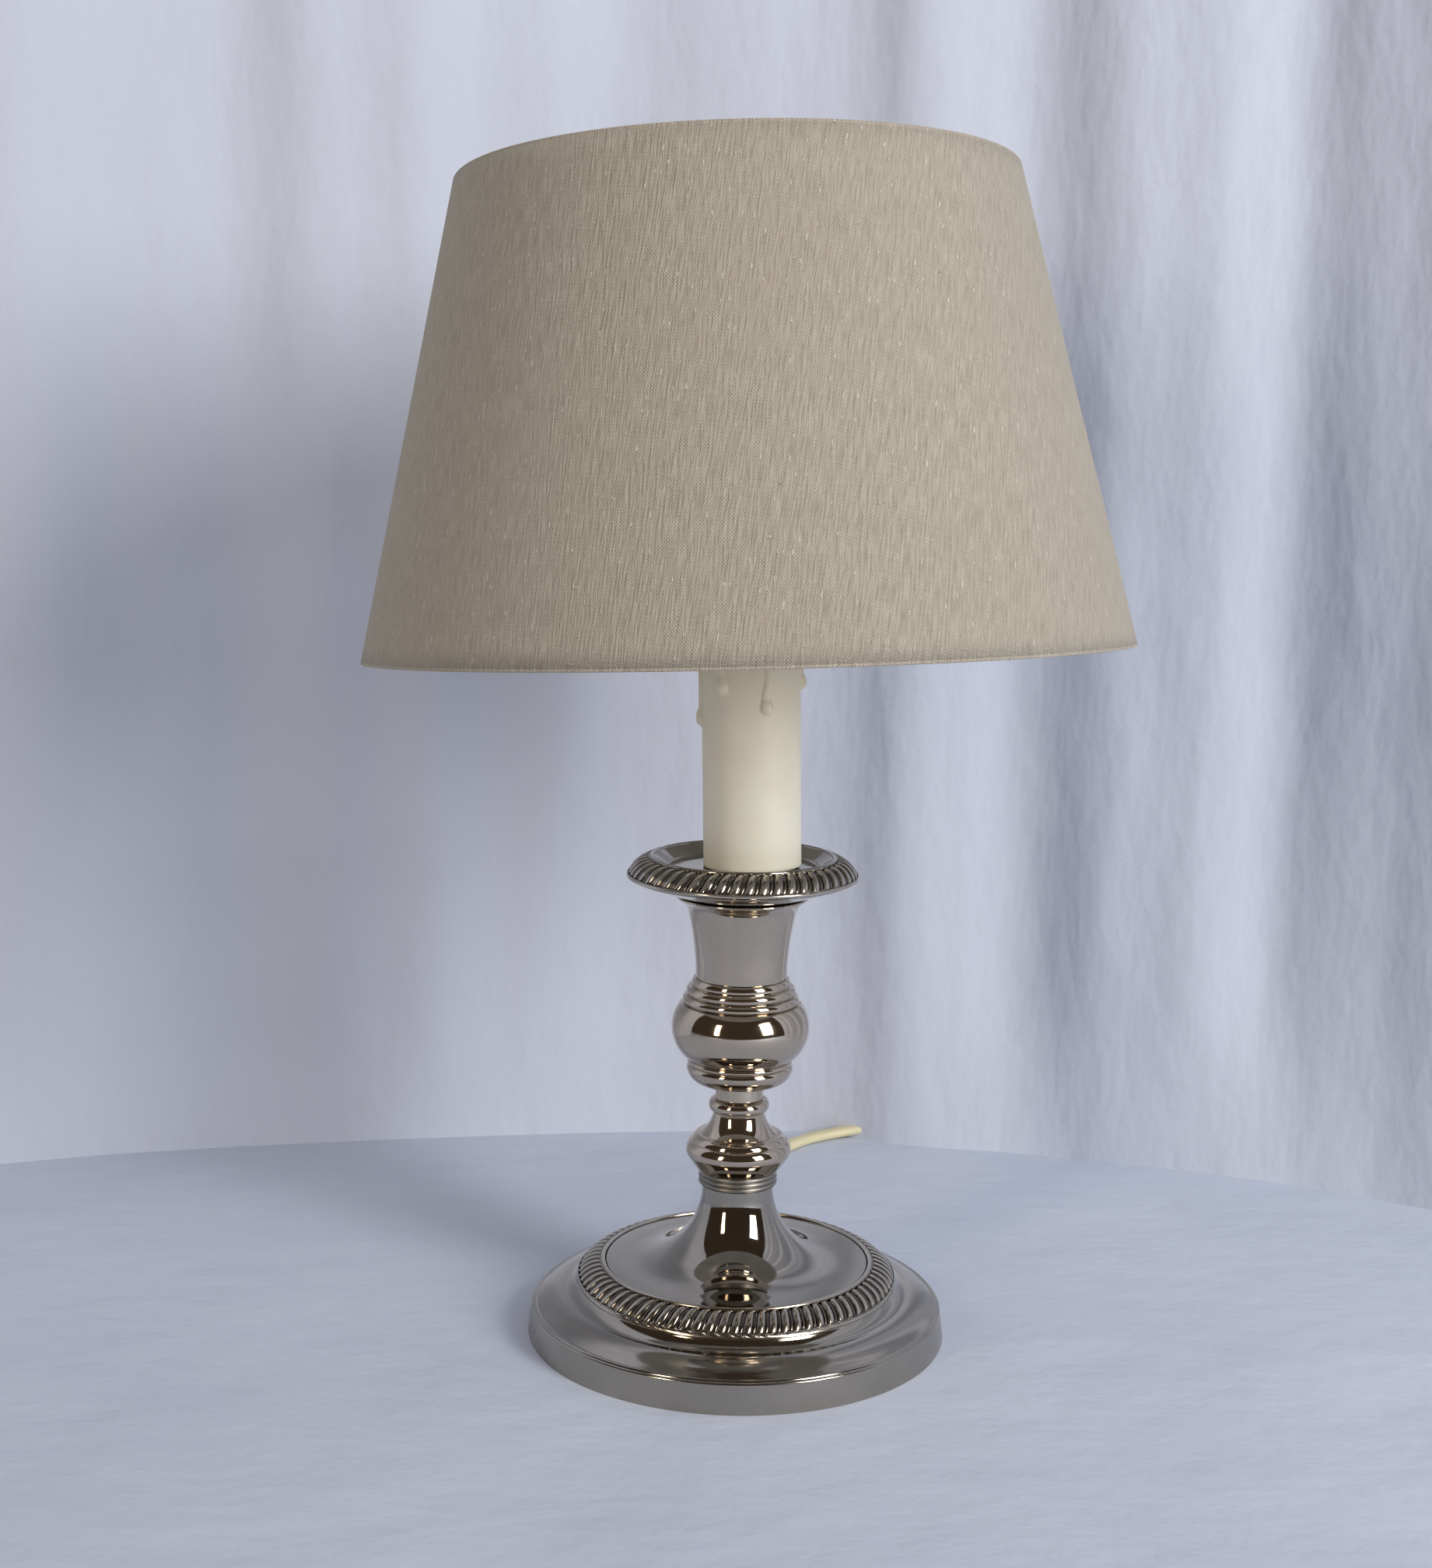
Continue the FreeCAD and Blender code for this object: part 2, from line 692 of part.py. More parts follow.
def filament():
    """The glow wire, hung in a zigzag between the lead-in wires."""
    points = []
    for i in range(filament_bends + 1):
        across = filament_half * (2 * i / filament_bends - 1)
        up = filament_h + filament_r * 2.2 if i % 2 == 0 else filament_h + filament_loop
        points.append(Vector(across, 0.0, up))
    return lean(wire(points, filament_r))


# ---------------------------------------------------------------- clip, yoke and shade

_, bulb_top = bulb_glass()
crown_low = bulb_top + crown_gap
crown_top = crown_low + crown_h
yoke_low = crown_top + seat_gap
yoke_top = yoke_low + yoke_h
pin_h = yoke_top + pin_rise
clip_r = glass_r + soft_gap + clip_wire


def spoke(angle, r, h):
    """A point at an angle in degrees, a radius and a height."""
    return Vector(r * math.cos(math.radians(angle)), r * math.sin(math.radians(angle)), h)


def bulb_clip():
    """Two sprung wire loops under a small crown, which grip the widest part of the glass."""
    parts = [tube(crown_r, rivet_r, crown_low, crown_top)]
    for middle in (0, 180):
        for side in (-1, 1):
            angle = middle + side * clip_half_deg
            leg = [spoke(angle, crown_r - clip_wire, crown_low + crown_h / 2),
                   spoke(angle, crown_r + 4.0, crown_low - 3.5), spoke(angle, clip_r, clip_shoulder_h),
                   spoke(angle, clip_r, clip_low)]
            parts.append(wire(leg, clip_wire))
            parts.append(Part.makeSphere(clip_wire, leg[-1]))
        sweep = Part.makeTorus(clip_r, clip_wire, Vector(0, 0, clip_low), Z, 0, 360, 2 * clip_half_deg)
        sweep.rotate(Vector(0, 0, 0), Z, middle - clip_half_deg)
        parts.append(sweep)
    return lean(parts[0].fuse(parts[1:]))


def swivel_rivet():
    """Rivet through the crown and the yoke, which turns under its head."""
    head = Part.makeCylinder(rivet_head_r, rivet_head_h, Vector(0, 0, yoke_top + seat_gap))
    shank = Part.makeCylinder(rivet_r, yoke_top + seat_gap - crown_low, Vector(0, 0, crown_low))
    return lean(shank.fuse(head))


yoke_turn = Placement(Vector(0, 0, 0), Rotation(Z, shade_lean_turn))


def swivel(shape):
    """Turn a shape with the yoke, then carry it to the leaning candle."""
    moved = shape.copy()
    moved.Placement = yoke_turn.multiply(moved.Placement)
    return lean(moved)


def shade_yoke():
    """U bracket on the rivet: its two ears carry the tilt pin."""
    base = tube(yoke_r, rivet_r + run_gap, yoke_low, yoke_top)
    ears = []
    for side in (-1, 1):
        x = side * ear_gap / 2 if side > 0 else -ear_gap / 2 - ear_wall
        corner = Vector(x, -ear_w / 2, yoke_low)
        ears.append(Part.makeBox(ear_wall, ear_w, pin_rise + ear_w / 2 + yoke_h, corner))
    hole = Part.makeCylinder(pin_r, ear_gap + 4 * ear_wall, Vector(-ear_gap / 2 - 2 * ear_wall, 0, pin_h),
                             Vector(1, 0, 0))
    return swivel(base.fuse(ears).cut(hole))


def tilt_pin():
    """Pin with a head at each end, fast in the yoke's ears."""
    half = ear_gap / 2 + ear_wall
    shank = Part.makeCylinder(pin_r, 2 * half, Vector(-half, 0, pin_h), Vector(1, 0, 0))
    heads = [Part.makeCylinder(pin_head_r, pin_head_h, Vector(half, 0, pin_h), Vector(1, 0, 0)),
             Part.makeCylinder(pin_head_r, pin_head_h, Vector(-half, 0, pin_h), Vector(-1, 0, 0))]
    return swivel(shank.fuse(heads))


# The shade's own frame has its zero at the tilt pin, its X along the pin, and leans about the pin.
tilt = Placement(Vector(0, 0, pin_h), Rotation(Vector(1, 0, 0), -shade_lean))


def hang(shape):
    """Carry a shape from the shade's own frame to where it hangs."""
    moved = shape.copy()
    moved.Placement = tilt.multiply(moved.Placement)
    return swivel(moved)


shade_low = -shade_drop
shade_top = shade_h - shade_drop
shade_slope = (shade_r - shade_top_r) / shade_h


def shade_wall_r(h):
    """Outer radius of the linen at a height in the shade's frame."""
    return shade_r - shade_slope * (h - shade_low)


def cone_skin(outset, wall, low, high):
    """A thin cone that follows the linen, its outer face outset from it."""
    low_r = shade_wall_r(low) + outset
    high_r = shade_wall_r(high) + outset
    return turned((low_r - wall, low), (low_r, low), (high_r, high), (high_r - wall, high))


frame_h = shade_top - frame_drop
lining_in = fabric_wall + lining_wall
frame_ring_r = shade_wall_r(frame_h) - lining_in - frame_wire - run_gap


def shade_frame():
    """Top ring, three arms, a post and the hub that tilts on the pin, welded together."""
    hub_l = ear_gap - 2 * hub_side_gap
    hub = Part.makeCylinder(hub_r, hub_l, Vector(-hub_l / 2, 0, 0), Vector(1, 0, 0))
    parts = [Part.makeTorus(frame_ring_r, frame_wire, Vector(0, 0, frame_h)),
             Part.makeCylinder(post_r, post_h + frame_wire, Vector(0, 0, 0))]
    for angle in (90, 210, 330):
        parts.append(wire([Vector(0, 0, post_h), spoke(angle, frame_ring_r, frame_h)], frame_wire))
    body = hub.fuse(parts)
    bore = Part.makeCylinder(pin_r + run_gap, ear_gap, Vector(-ear_gap / 2, 0, 0), Vector(1, 0, 0))
    return hang(body.cut(bore))


def shade_lower_ring():
    """Wire ring that keeps the lower rim round."""
    h = shade_low + frame_drop
    ring_r = shade_wall_r(h) - lining_in - frame_wire - run_gap
    return hang(Part.makeTorus(ring_r, frame_wire, Vector(0, 0, h)))


# ---------------------------------------------------------------- lead

def flat_section(at, along):
    """The lead's section: flat with round edges, its width level, square to a direction."""
    along = Vector(along)
    along.normalize()
    side = along.cross(Z)
    side.normalize()
    up = side.cross(along)
    half = (cord_w - cord_t) / 2
    r = cord_t / 2
    a = at + side * half + up * r
    b = at + side * half - up * r
    c = at - side * half - up * r
    d = at - side * half + up * r
    right = Part.Arc(a, at + side * (half + r), b).toShape()
    left = Part.Arc(c, at - side * (half + r), d).toShape()
    return Part.Wire([right, Part.LineSegment(b, c).toShape(), left, Part.LineSegment(d, a).toShape()])


flat_area = cord_t * (cord_w - cord_t) + math.pi * cord_t * cord_t / 4


def sweep_flat(name, edges, start, along):
    """Sweep the flat section along the edges, and compare its volume with section times length."""
    path = Part.Wire(edges)
    shell = Part.BRepOffsetAPI.MakePipeShell(path)
    shell.add(flat_section(start, along))
    shell.build()
    shell.makeSolid()
    body = shell.shape()
    ratio = body.Volume / (flat_area * path.Length)
    print(name, "length", round(path.Length, 1), "volume ratio", round(ratio, 4))
    return body


bend_share = 0.45         # how much of the shorter of its two runs a bend may take


def rounded_route(name, points):
    """Straight runs joined by tangent arcs, each as large as its two runs allow."""
    pts = [Vector(*p) for p in points]
    edges = []
    here = pts[0]
    radii = []
    for a, b, c in zip(pts, pts[1:], pts[2:]):
        u = b - a
        v = c - b
        half_turn = u.getAngle(v) / 2
        cut = bend_share * min(u.Length, v.Length)
        radius = cut / math.tan(half_turn)
        radii.append(round(radius, 1))
        u.normalize()
        v.normalize()
        bisector = v - u
        bisector.normalize()
        start = b - u * cut
        end = b + v * cut
        middle = b + bisector * (radius / math.cos(half_turn) - radius)
        edges.append(Part.LineSegment(here, start).toShape())
        edges.append(Part.Arc(start, middle, end).toShape())
        here = end
    edges.append(Part.LineSegment(here, pts[-1]).toShape())
    print(name, "radii", radii)
    return edges, pts[0], pts[1] - pts[0]


relief_start = foot_r
relief_end = relief_start + relief_l
cord_z = cord_t / 2
switch_dir = Vector(math.cos(math.radians(switch_turn)), math.sin(math.radians(switch_turn)), 0)
switch_mid = Vector(switch_at[0], switch_at[1], 0)
switch_cord_h = switch_split - cord_t / 2 + 0.2
switch_in = switch_mid - switch_dir * (switch_l / 2) + Z * switch_cord_h
switch_out = switch_mid + switch_dir * (switch_l / 2) + Z * switch_cord_h
switch_in_end = switch_in + switch_dir * grip_l
switch_out_end = switch_out - switch_dir * grip_l

lead_route = [
    (0.0, relief_end, exit_h), (0.0, 88.0, exit_h), (0.3, 98.2, 3.4), (1.3, 108.5, 2.2), (3.4, 119.5, cord_z),
    (6.6, 130.5, cord_z), (11.4, 141.0, cord_z), (17.7, 150.8, cord_z), (25.0, 159.8, cord_z),
    (34.4, 166.4, 1.8), (45.4, 169.6, 2.8), (56.0, 171.1, 4.7),
    (switch_in.x, switch_in.y, switch_in.z), (switch_in_end.x, switch_in_end.y, switch_in_end.z)]


def stadium_bar(start, along, length):
    """A straight stretch of the flat lead."""
    along = Vector(along)
    along.normalize()
    face = Part.Face(flat_section(start, along))
    return face.extrude(along * length)


def strain_relief():
    """Moulded tapered sleeve, gripped in the skirt by its neck."""
    axis = Vector(0, 1, 0)
    inside = foot_r - foot_wall - relief_inside
    neck = Part.makeCylinder(relief_neck_r, relief_start - inside, Vector(0, inside, exit_h), axis)
    taper = Part.makeCone(relief_r, relief_tip_r, relief_l, Vector(0, relief_start, exit_h), axis)
    return neck.fuse(taper).cut(stadium_bar(Vector(0, inside - 1, exit_h), axis, relief_l + 10))


def core(side):
    """One insulated core, from the end of the sheath up the tube to the lampholder's block."""
    x = side * core_gap
    low_end = Vector(x, core_bend, exit_h)
    rise = Vector(x, 0, exit_h + core_bend)
    eighth = math.pi / 4
    knee = Vector(x, core_bend * (1 - math.sin(eighth)), exit_h + core_bend * (1 - math.cos(eighth)))
    corner = Vector(x, 0, floor_z + knee_h)
    top = candle.multVec(Vector(x, 0, flange_top))
    out = top - candle.multVec(Vector(x, 0, knee_h + core_knee))
    out.normalize()
    before = corner - Z * core_knee
    after = corner + out * core_knee
    bisector = out - Z
    bisector.normalize()
    half_turn = Z.getAngle(out) / 2
    sagitta = core_knee / math.tan(half_turn) * (1 / math.cos(half_turn) - 1)
    spine = Part.Wire([
        Part.LineSegment(Vector(x, sheath_end, exit_h), low_end).toShape(),
        Part.Arc(low_end, knee, rise).toShape(),
        Part.LineSegment(rise, before).toShape(),
        Part.Arc(before, corner + bisector * sagitta, after).toShape(),
        Part.LineSegment(after, after + out * (top - after).dot(out)).toShape()])
    start = Vector(x, sheath_end, exit_h)
    shell = Part.BRepOffsetAPI.MakePipeShell(spine)
    shell.add(Part.Wire([Part.Circle(start, Vector(0, -1, 0), core_r).toShape()]))
    shell.build()
    shell.makeSolid()
    return shell.shape()


# The coil's centre line: half turns that step in by half a pitch, one that climbs, and half turns
# that step out again on the upper layer.
coil_pitch = cord_w + coil_turn_gap
coil_step = coil_pitch / 2
coil_rise = cord_t + coil_turn_gap


def tangent_arc(start, along, end):
    """The arc that leaves start in a direction and reaches end, and its direction there."""
    chord = end - start
    along = Vector(along)
    along.normalize()
    unit = Vector(chord)
    unit.normalize()
    side = along - unit * along.dot(unit)
    side.normalize()
    half = along.getAngle(unit)
    middle = start + chord * 0.5 + side * (chord.Length / 2 * math.tan(half / 2))
    leaving = unit * (2 * along.dot(unit)) - along
    return Part.Arc(start, middle, end).toShape(), leaving


def coil_path():
    """Edges of the coil from its first straight end to its last, with its end points and directions."""
    cx, cy = coil_at
    low_z = cord_z
    high_z = cord_z + coil_rise
    outer = coil_inner_r + coil_step * coil_half_turns
    here = Vector(cx + outer, cy, low_z)
    along = Vector(0, 1, 0)
    start = here - along * cord_w
    edges = [Part.LineSegment(start, here).toShape()]
    side = 1
    for i in range(coil_half_turns):
        radius = outer - coil_step * i
        end = here - Vector(2 * radius * side, 0, 0)
        arc, along = tangent_arc(here, along, end)
        edges.append(arc)
        here = end
        side = -side
    far = here - Vector(2 * coil_inner_r * side, 0, 0) + Z * (high_z - low_z)
    reach = (far - here).Length / 2
    middle = (here + along * reach + far + along * reach) * 0.5
    first, mid_along = tangent_arc(here, along, middle)
    second, along = tangent_arc(middle, mid_along, far)
    edges += [first, second]
    here = far
    side = -side
    for i in range(coil_half_turns - 1):
        radius = coil_inner_r + coil_step * (i + 1)
        end = here - Vector(2 * radius * side, 0, 0)
        arc, along = tangent_arc(here, along, end)
        edges.append(arc)
        here = end
        side = -side
    end = here + Vector(-side * outer, along.y * outer, 0)
    arc, along = tangent_arc(here, along, end)
    edges.append(arc)
    out = end + along * cord_w
    edges.append(Part.LineSegment(end, out).toShape())
    return edges, start, Vector(0, 1, 0), out, along


def least_gap(edges):
    """Least space between stretches of the coil that lie beside or over each other."""
    wire_path = Part.Wire(edges)
    pts = wire_path.discretize(Distance=3.0)
    least = 1e9
    for i, p in enumerate(pts):
        for q in pts[i + 12:]:
            level = math.hypot(p.x - q.x, p.y - q.y) - cord_w
            upright = abs(p.z - q.z) - cord_t
            least = min(least, max(level, upright))
    return least


coil_edges, coil_start, coil_in, coil_out, coil_out_dir = coil_path()
print("coil least gap", round(least_gap(coil_edges), 2))

tail_route = [
    (switch_out_end.x, switch_out_end.y, switch_out_end.z), (switch_out.x, switch_out.y, switch_out.z),
    (127.2, 183.0, 4.9), (135.0, 186.6, 3.9), (141.4, 192.3, 2.6), (146.0, 199.6, 1.7),
    (148.6, 208.2, cord_z),
    (coil_start.x, 220.8, cord_z), (coil_start.x, coil_start.y, cord_z)]

plug_dir = Vector(math.cos(math.radians(plug_turn)), math.sin(math.radians(plug_turn)), 0)
plug_tail = Vector(plug_at[0], plug_at[1], plug_h / 2)
plug_near = plug_tail - plug_dir * plug_lead_in
end_route = [
    (coil_out.x, coil_out.y, coil_out.z), (97.6, coil_out.y, coil_out.z), (88.5, 274.7, 4.8),
    (79.9, 271.7, 4.5), (72.2, 266.8, 5.4), (plug_near.x, plug_near.y, plug_near.z),
    (plug_tail.x, plug_tail.y, plug_tail.z)]


def coil_tie():
    """Strip wound round the bundle of turns, on the side away from the lamp."""
    cx, cy = coil_at
    outer = coil_inner_r + coil_step * coil_half_turns
    in_r = coil_inner_r - cord_w / 2 - coil_step - tie_gap
    out_r = outer + cord_w / 2 + tie_gap + tie_slack
    high = cord_t * 2 + coil_turn_gap + tie_gap
    corner = Vector(cx + in_r - tie_t, cy - tie_w / 2, 0)
    body = Part.makeBox(out_r - in_r + 2 * tie_t, tie_w, high + tie_t, corner)
    hole = Part.makeBox(out_r - in_r, tie_w, high + 1.0, Vector(cx + in_r, cy - tie_w / 2, -1.0))
    body = body.cut(hole)
    body.rotate(Vector(cx, cy, 0), Z, tie_turn)
    return body


# ---------------------------------------------------------------- hand switch and plug

switch_place = Placement(switch_mid, Rotation(Z, switch_turn))


def at_switch(shape):
    """Carry a shape from the switch's own frame, X along the lead, to where it lies."""
    moved = shape.copy()
    moved.Placement = switch_place.multiply(moved.Placement)
    return moved


def capsule(length, width, low, high):
    """A bar with round ends and straight sides, upright along Z."""
    r = width / 2
    half = length / 2 - r
    mid = Part.makeBox(2 * half, width, high - low, Vector(-half, -r, low))
    ends = [Part.makeCylinder(r, high - low, Vector(s * half, 0, low)) for s in (-1, 1)]
    return mid.fuse(ends).removeSplitter()


pocket_l = rocker_l + 2 * rocker_gap
pocket_w = rocker_w + 2 * rocker_gap


def lead_holes():
    """Room for the lead's ends in both halves of the switch."""
    width = cord_w + 2 * run_gap
    low = switch_cord_h - cord_t / 2 - run_gap
    return [Part.makeBox(grip_l + 1.0, width, cord_t + 2 * run_gap, Vector(x, -width / 2, low))
            for x in (-switch_l / 2 - 1.0, switch_l / 2 - grip_l)]


def at_screws(radius, low, high):
    """A round bar at each screw's place, between two heights."""
    return [Part.makeCylinder(radius, high - low, Vector(side * screw_x, 0, low)) for side in (-1, 1)]


def switch_base():
    """Lower half of the switch, with a boss for the screw."""
    body = capsule(switch_l, switch_w, 0, switch_split)
    body = body.cut(capsule(switch_l - 2 * grip_l, switch_w - 2 * switch_wall, switch_floor, switch_split))
    body = body.fuse(at_screws(screw_boss_r, switch_floor, switch_split))
    holes = at_screws(screw_r + run_gap, 0, switch_split)
    heads = at_screws(screw_head_r + run_gap, 0, screw_sink)
    return at_switch(body.cut(holes + heads + lead_holes()))


def switch_cover():
    """Upper half of the switch, with a window for the rocker."""
    body = capsule(switch_l, switch_w, switch_split, switch_h)
    edge = [e for e in body.Edges if min(v.Point.z for v in e.Vertexes) > switch_h - 0.01]
    body = body.makeFillet(switch_round, edge)
    body = body.cut(capsule(switch_l - 2 * grip_l - 4, switch_w - 4 * switch_wall, switch_split,
                            switch_h - switch_wall * 1.6))
    body = body.fuse(at_screws(screw_boss_r, switch_split, switch_h - switch_wall))
    window = Part.makeBox(pocket_l, pocket_w, switch_h, Vector(-pocket_l / 2, -pocket_w / 2, switch_split))
    holes = at_screws(screw_r, switch_split, switch_split + screw_grip)
    return at_switch(body.cut([window] + holes + lead_holes()))


rocker_pivot_h = switch_h - rocker_sink


def switch_rocker():
    """Rocker that tips over a pin across the window; it is tipped to its off side."""
    reach = rocker_l / 2
    top = rocker_rise + switch_h - rocker_pivot_h
    corners = [(-reach, rocker_end_h), (-rocker_foot, -rocker_deep), (rocker_foot, -rocker_deep),
               (reach, rocker_end_h), (reach - rocker_bevel, top), (0, top - rocker_dip),
               (-reach + rocker_bevel, top), (-reach, rocker_end_h)]
    shape = Part.makePolygon([Vector(x, 0, z) for x, z in corners])
    body = Part.Face(shape).extrude(Vector(0, rocker_w, 0))
    body.translate(Vector(0, -rocker_w / 2, 0))
    across = Vector(0, 1, 0)
    body = body.cut(Part.makeCylinder(rocker_pin_r + run_gap, rocker_w, Vector(0, -rocker_w / 2, 0), across))
    body.rotate(Vector(0, 0, 0), across, -rocker_deg)
    body.translate(Vector(0, 0, rocker_pivot_h))
    return at_switch(body)


def rocker_pin():
    """Steel pin across the switch's window."""
    start = Vector(0, -pocket_w / 2, rocker_pivot_h)
    return at_switch(Part.makeCylinder(rocker_pin_r, pocket_w, start, Vector(0, 1, 0)))


def switch_screws():
    """Two screws from below that close the switch, their heads sunk in its floor."""
    shanks = at_screws(screw_r, screw_sink, switch_split + screw_grip)
    heads = at_screws(screw_head_r, seat_gap, screw_sink)
    return at_switch(Part.makeCompound([shank.fuse(head) for shank, head in zip(shanks, heads)]))


plug_place = Placement(plug_tail, Rotation(Z, plug_turn))
plug_face = plug_neck + plug_l


def at_plug(shape):
    """Carry a shape from the plug's own frame, X from the lead's end to the pins, to where it lies."""
    moved = shape.copy()
    moved.Placement = plug_place.multiply(moved.Placement)
    return moved


def round_box(width, height, x):
    """A rectangle with round corners, square to the plug's axis."""
    r = min(plug_round, height / 2 - 0.2)
    w = width / 2 - r
    h = height / 2 - r
    k = r * math.cos(math.pi / 4)
    edges = []
    corners = [(w, h, 1, 1), (-w, h, -1, 1), (-w, -h, -1, -1), (w, -h, 1, -1)]
    for i, (cy, cz, sy, sz) in enumerate(corners):
        upright = Vector(x, cy, cz + sz * r)
        level = Vector(x, cy + sy * r, cz)
        a, b = (level, upright) if i % 2 == 0 else (upright, level)
        edges.append(Part.Arc(a, Vector(x, cy + sy * k, cz + sz * k), b).toShape())
        ny, nz, nsy, nsz = corners[(i + 1) % 4]
        after = Vector(x, ny, nz + nsz * r) if i % 2 == 0 else Vector(x, ny + nsy * r, nz)
        edges.append(Part.LineSegment(b, after).toShape())
    return Part.Wire(edges)


def plug_body():
    """Flat two-pin plug: a grip that widens to its face, with a round neck for the lead."""
    middle = plug_neck + plug_l * 0.55
    grip = Part.makeLoft([round_box(plug_back_w, plug_back_h, plug_neck),
                          round_box((plug_back_w + plug_w) / 2, (plug_back_h + plug_h) / 2, middle),
                          round_box(plug_w, plug_h, plug_face)], True, True)
    neck = Part.makeCone(plug_neck_r, plug_back_h / 2 - 0.2, plug_neck, Vector(0, 0, 0), Vector(1, 0, 0))
    return at_plug(grip.fuse(neck))


def plug_pins():
    """The two round pins with their rounded tips."""
    parts = []
    shank = plug_pin_l - plug_pin_r
    for s in (-1, 1):
        at = Vector(plug_face, s * plug_pin_gap / 2, 0)
        pin = Part.makeCylinder(plug_pin_r, shank, at, Vector(1, 0, 0))
        parts.append(pin.fuse(Part.makeSphere(plug_pin_r, at + Vector(shank, 0, 0))))
    return at_plug(Part.makeCompound(parts))


# ---------------------------------------------------------------- write every node

save("foot_shell", foot_shell())
save("foot_border", foot_border())
save("foot_dish", foot_dish())
save("neck_collar", neck_collar())
save("lower_knop", lower_knop())
save("stem_neck", stem_neck())
save("ball_foot", ball_foot())
save("ball_knop", ball_knop())
save("stepped_rings", stepped_rings())
save("vase_socket", vase_socket())
save("drip_pan", drip_pan())
save("pan_border", pan_border())

save("threaded_tube", threaded_tube())
save("lower_nut", hex_nut(nut_flat, rod_r, rod_low + 0.2, nut_h))
save("lower_washer", tube(washer_r, bore_r, rod_low + 0.2 + nut_h, washer_top))
save("upper_nut", hex_nut(nut_flat, rod_r, floor_z, nut_h))
save("base_weight", base_weight())
save("base_cover", Part.makeCylinder(cover_r, cover_h, Vector(0, 0, cover_low)))
save("felt_disc", Part.makeCylinder(cover_r, felt_h))

save("candle_sleeve", candle_sleeve())
save("holder_cap", holder_cap())
save("holder_body", lean(tube(holder_r, holder_in_r, flange_top, holder_top)))
save("terminal_block", lean(Part.makeCylinder(shell_r, block_h, Vector(0, 0, flange_top))))
save("holder_shell", lean(tube(shell_r, shell_r - shell_wall, block_top, shell_top)))
save("centre_contact", centre_contact())

save("bulb_cap", bulb_cap())
save("bulb_tip", bulb_tip())
save("bulb_glass", bulb_glass()[0])
save("bulb_stem", bulb_stem())
save("filament", filament())

save("bulb_clip", bulb_clip())
save("swivel_rivet", swivel_rivet())
save("shade_yoke", shade_yoke())
save("tilt_pin", tilt_pin())
save("shade_frame", shade_frame())
save("shade_lower_ring", shade_lower_ring())
save("shade_linen", hang(cone_skin(0, fabric_wall, shade_low, shade_top)))
save("shade_lining", hang(cone_skin(-fabric_wall, lining_wall, shade_low, shade_top)))
save("upper_hem", hang(cone_skin(hem_wall, hem_wall, shade_top - hem_h, shade_top)))
save("lower_hem", hang(cone_skin(hem_wall, hem_wall, shade_low, shade_low + hem_h)))

save("strain_relief", strain_relief())
save("inner_lead", stadium_bar(Vector(0, sheath_end, exit_h), Vector(0, 1, 0), relief_end - sheath_end))
wedge_low = exit_h + cord_t / 2
wedge_top = weight_low + lead_slot_h
wedge_at = Vector(-cord_w / 2, sheath_end + wedge_in, wedge_low)
save("lead_wedge", Part.makeBox(cord_w, wedge_l, wedge_top - wedge_low, wedge_at))
save("core_brown", core(-1))
save("core_blue", core(1))

edges, first, heading = rounded_route("cord_lead", lead_route)
save("cord_lead", sweep_flat("cord_lead", edges, first, heading))
edges, first, heading = rounded_route("cord_tail", tail_route)
save("cord_tail", sweep_flat("cord_tail", edges, first, heading))
save("cord_coil", sweep_flat("cord_coil", coil_edges, coil_start, coil_in))
edges, first, heading = rounded_route("cord_end", end_route)
save("cord_end", sweep_flat("cord_end", edges, first, heading))
save("coil_tie", coil_tie())

save("switch_base", switch_base())
save("switch_cover", switch_cover())
save("switch_rocker", switch_rocker())
save("rocker_pin", rocker_pin())
save("switch_screws", switch_screws())
save("plug_body", plug_body())
save("plug_pins", plug_pins())
print("floor", floor_z, "pin height", round(pin_h, 2), "bulb top", round(bulb_top, 2), "coil out", coil_out)
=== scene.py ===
import math
import random
import bpy
from mathutils import Matrix, Vector


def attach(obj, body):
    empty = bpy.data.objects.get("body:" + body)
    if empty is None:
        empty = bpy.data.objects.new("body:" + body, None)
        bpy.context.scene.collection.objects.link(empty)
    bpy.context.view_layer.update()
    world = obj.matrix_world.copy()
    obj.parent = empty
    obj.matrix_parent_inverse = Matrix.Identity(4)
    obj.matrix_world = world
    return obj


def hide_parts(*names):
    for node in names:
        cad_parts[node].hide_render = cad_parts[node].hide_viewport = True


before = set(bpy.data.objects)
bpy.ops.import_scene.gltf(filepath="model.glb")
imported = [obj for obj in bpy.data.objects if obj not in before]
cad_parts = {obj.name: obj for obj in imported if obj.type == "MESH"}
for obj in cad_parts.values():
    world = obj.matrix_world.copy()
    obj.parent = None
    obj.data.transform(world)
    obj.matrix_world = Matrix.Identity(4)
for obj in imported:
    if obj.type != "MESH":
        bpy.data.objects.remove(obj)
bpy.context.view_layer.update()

# Candlestick lamp. Metres; +Z is up, the front is -Y, and the stick's axis is the Z axis.

# ---------------------------------------------------------------- camera
# The place the photograph was taken from, fitted to the circles of the foot, the drip pan and the shade's
# rims: a little over half a metre in front of the lamp, looking down by 8 degrees and rolled by under one.
scene = bpy.context.scene
lens = bpy.data.cameras.new("camera")
lens.sensor_fit = "HORIZONTAL"
lens.sensor_width = 36.0
lens.lens = 52.8
lens.clip_start = 0.02
camera = bpy.data.objects.new("camera", lens)
scene.collection.objects.link(camera)
eye = (-0.00758, -0.55294, 0.23241)
pitch = math.radians(8.37)
roll = math.radians(0.88)
ahead = Vector((0, math.cos(pitch), -math.sin(pitch)))
level_up = Vector((0, math.sin(pitch), math.cos(pitch)))
right = math.cos(roll) * Vector((1, 0, 0)) + math.sin(roll) * level_up
upward = -math.sin(roll) * Vector((1, 0, 0)) + math.cos(roll) * level_up
looking = Matrix((right, upward, -ahead)).transposed().to_4x4()
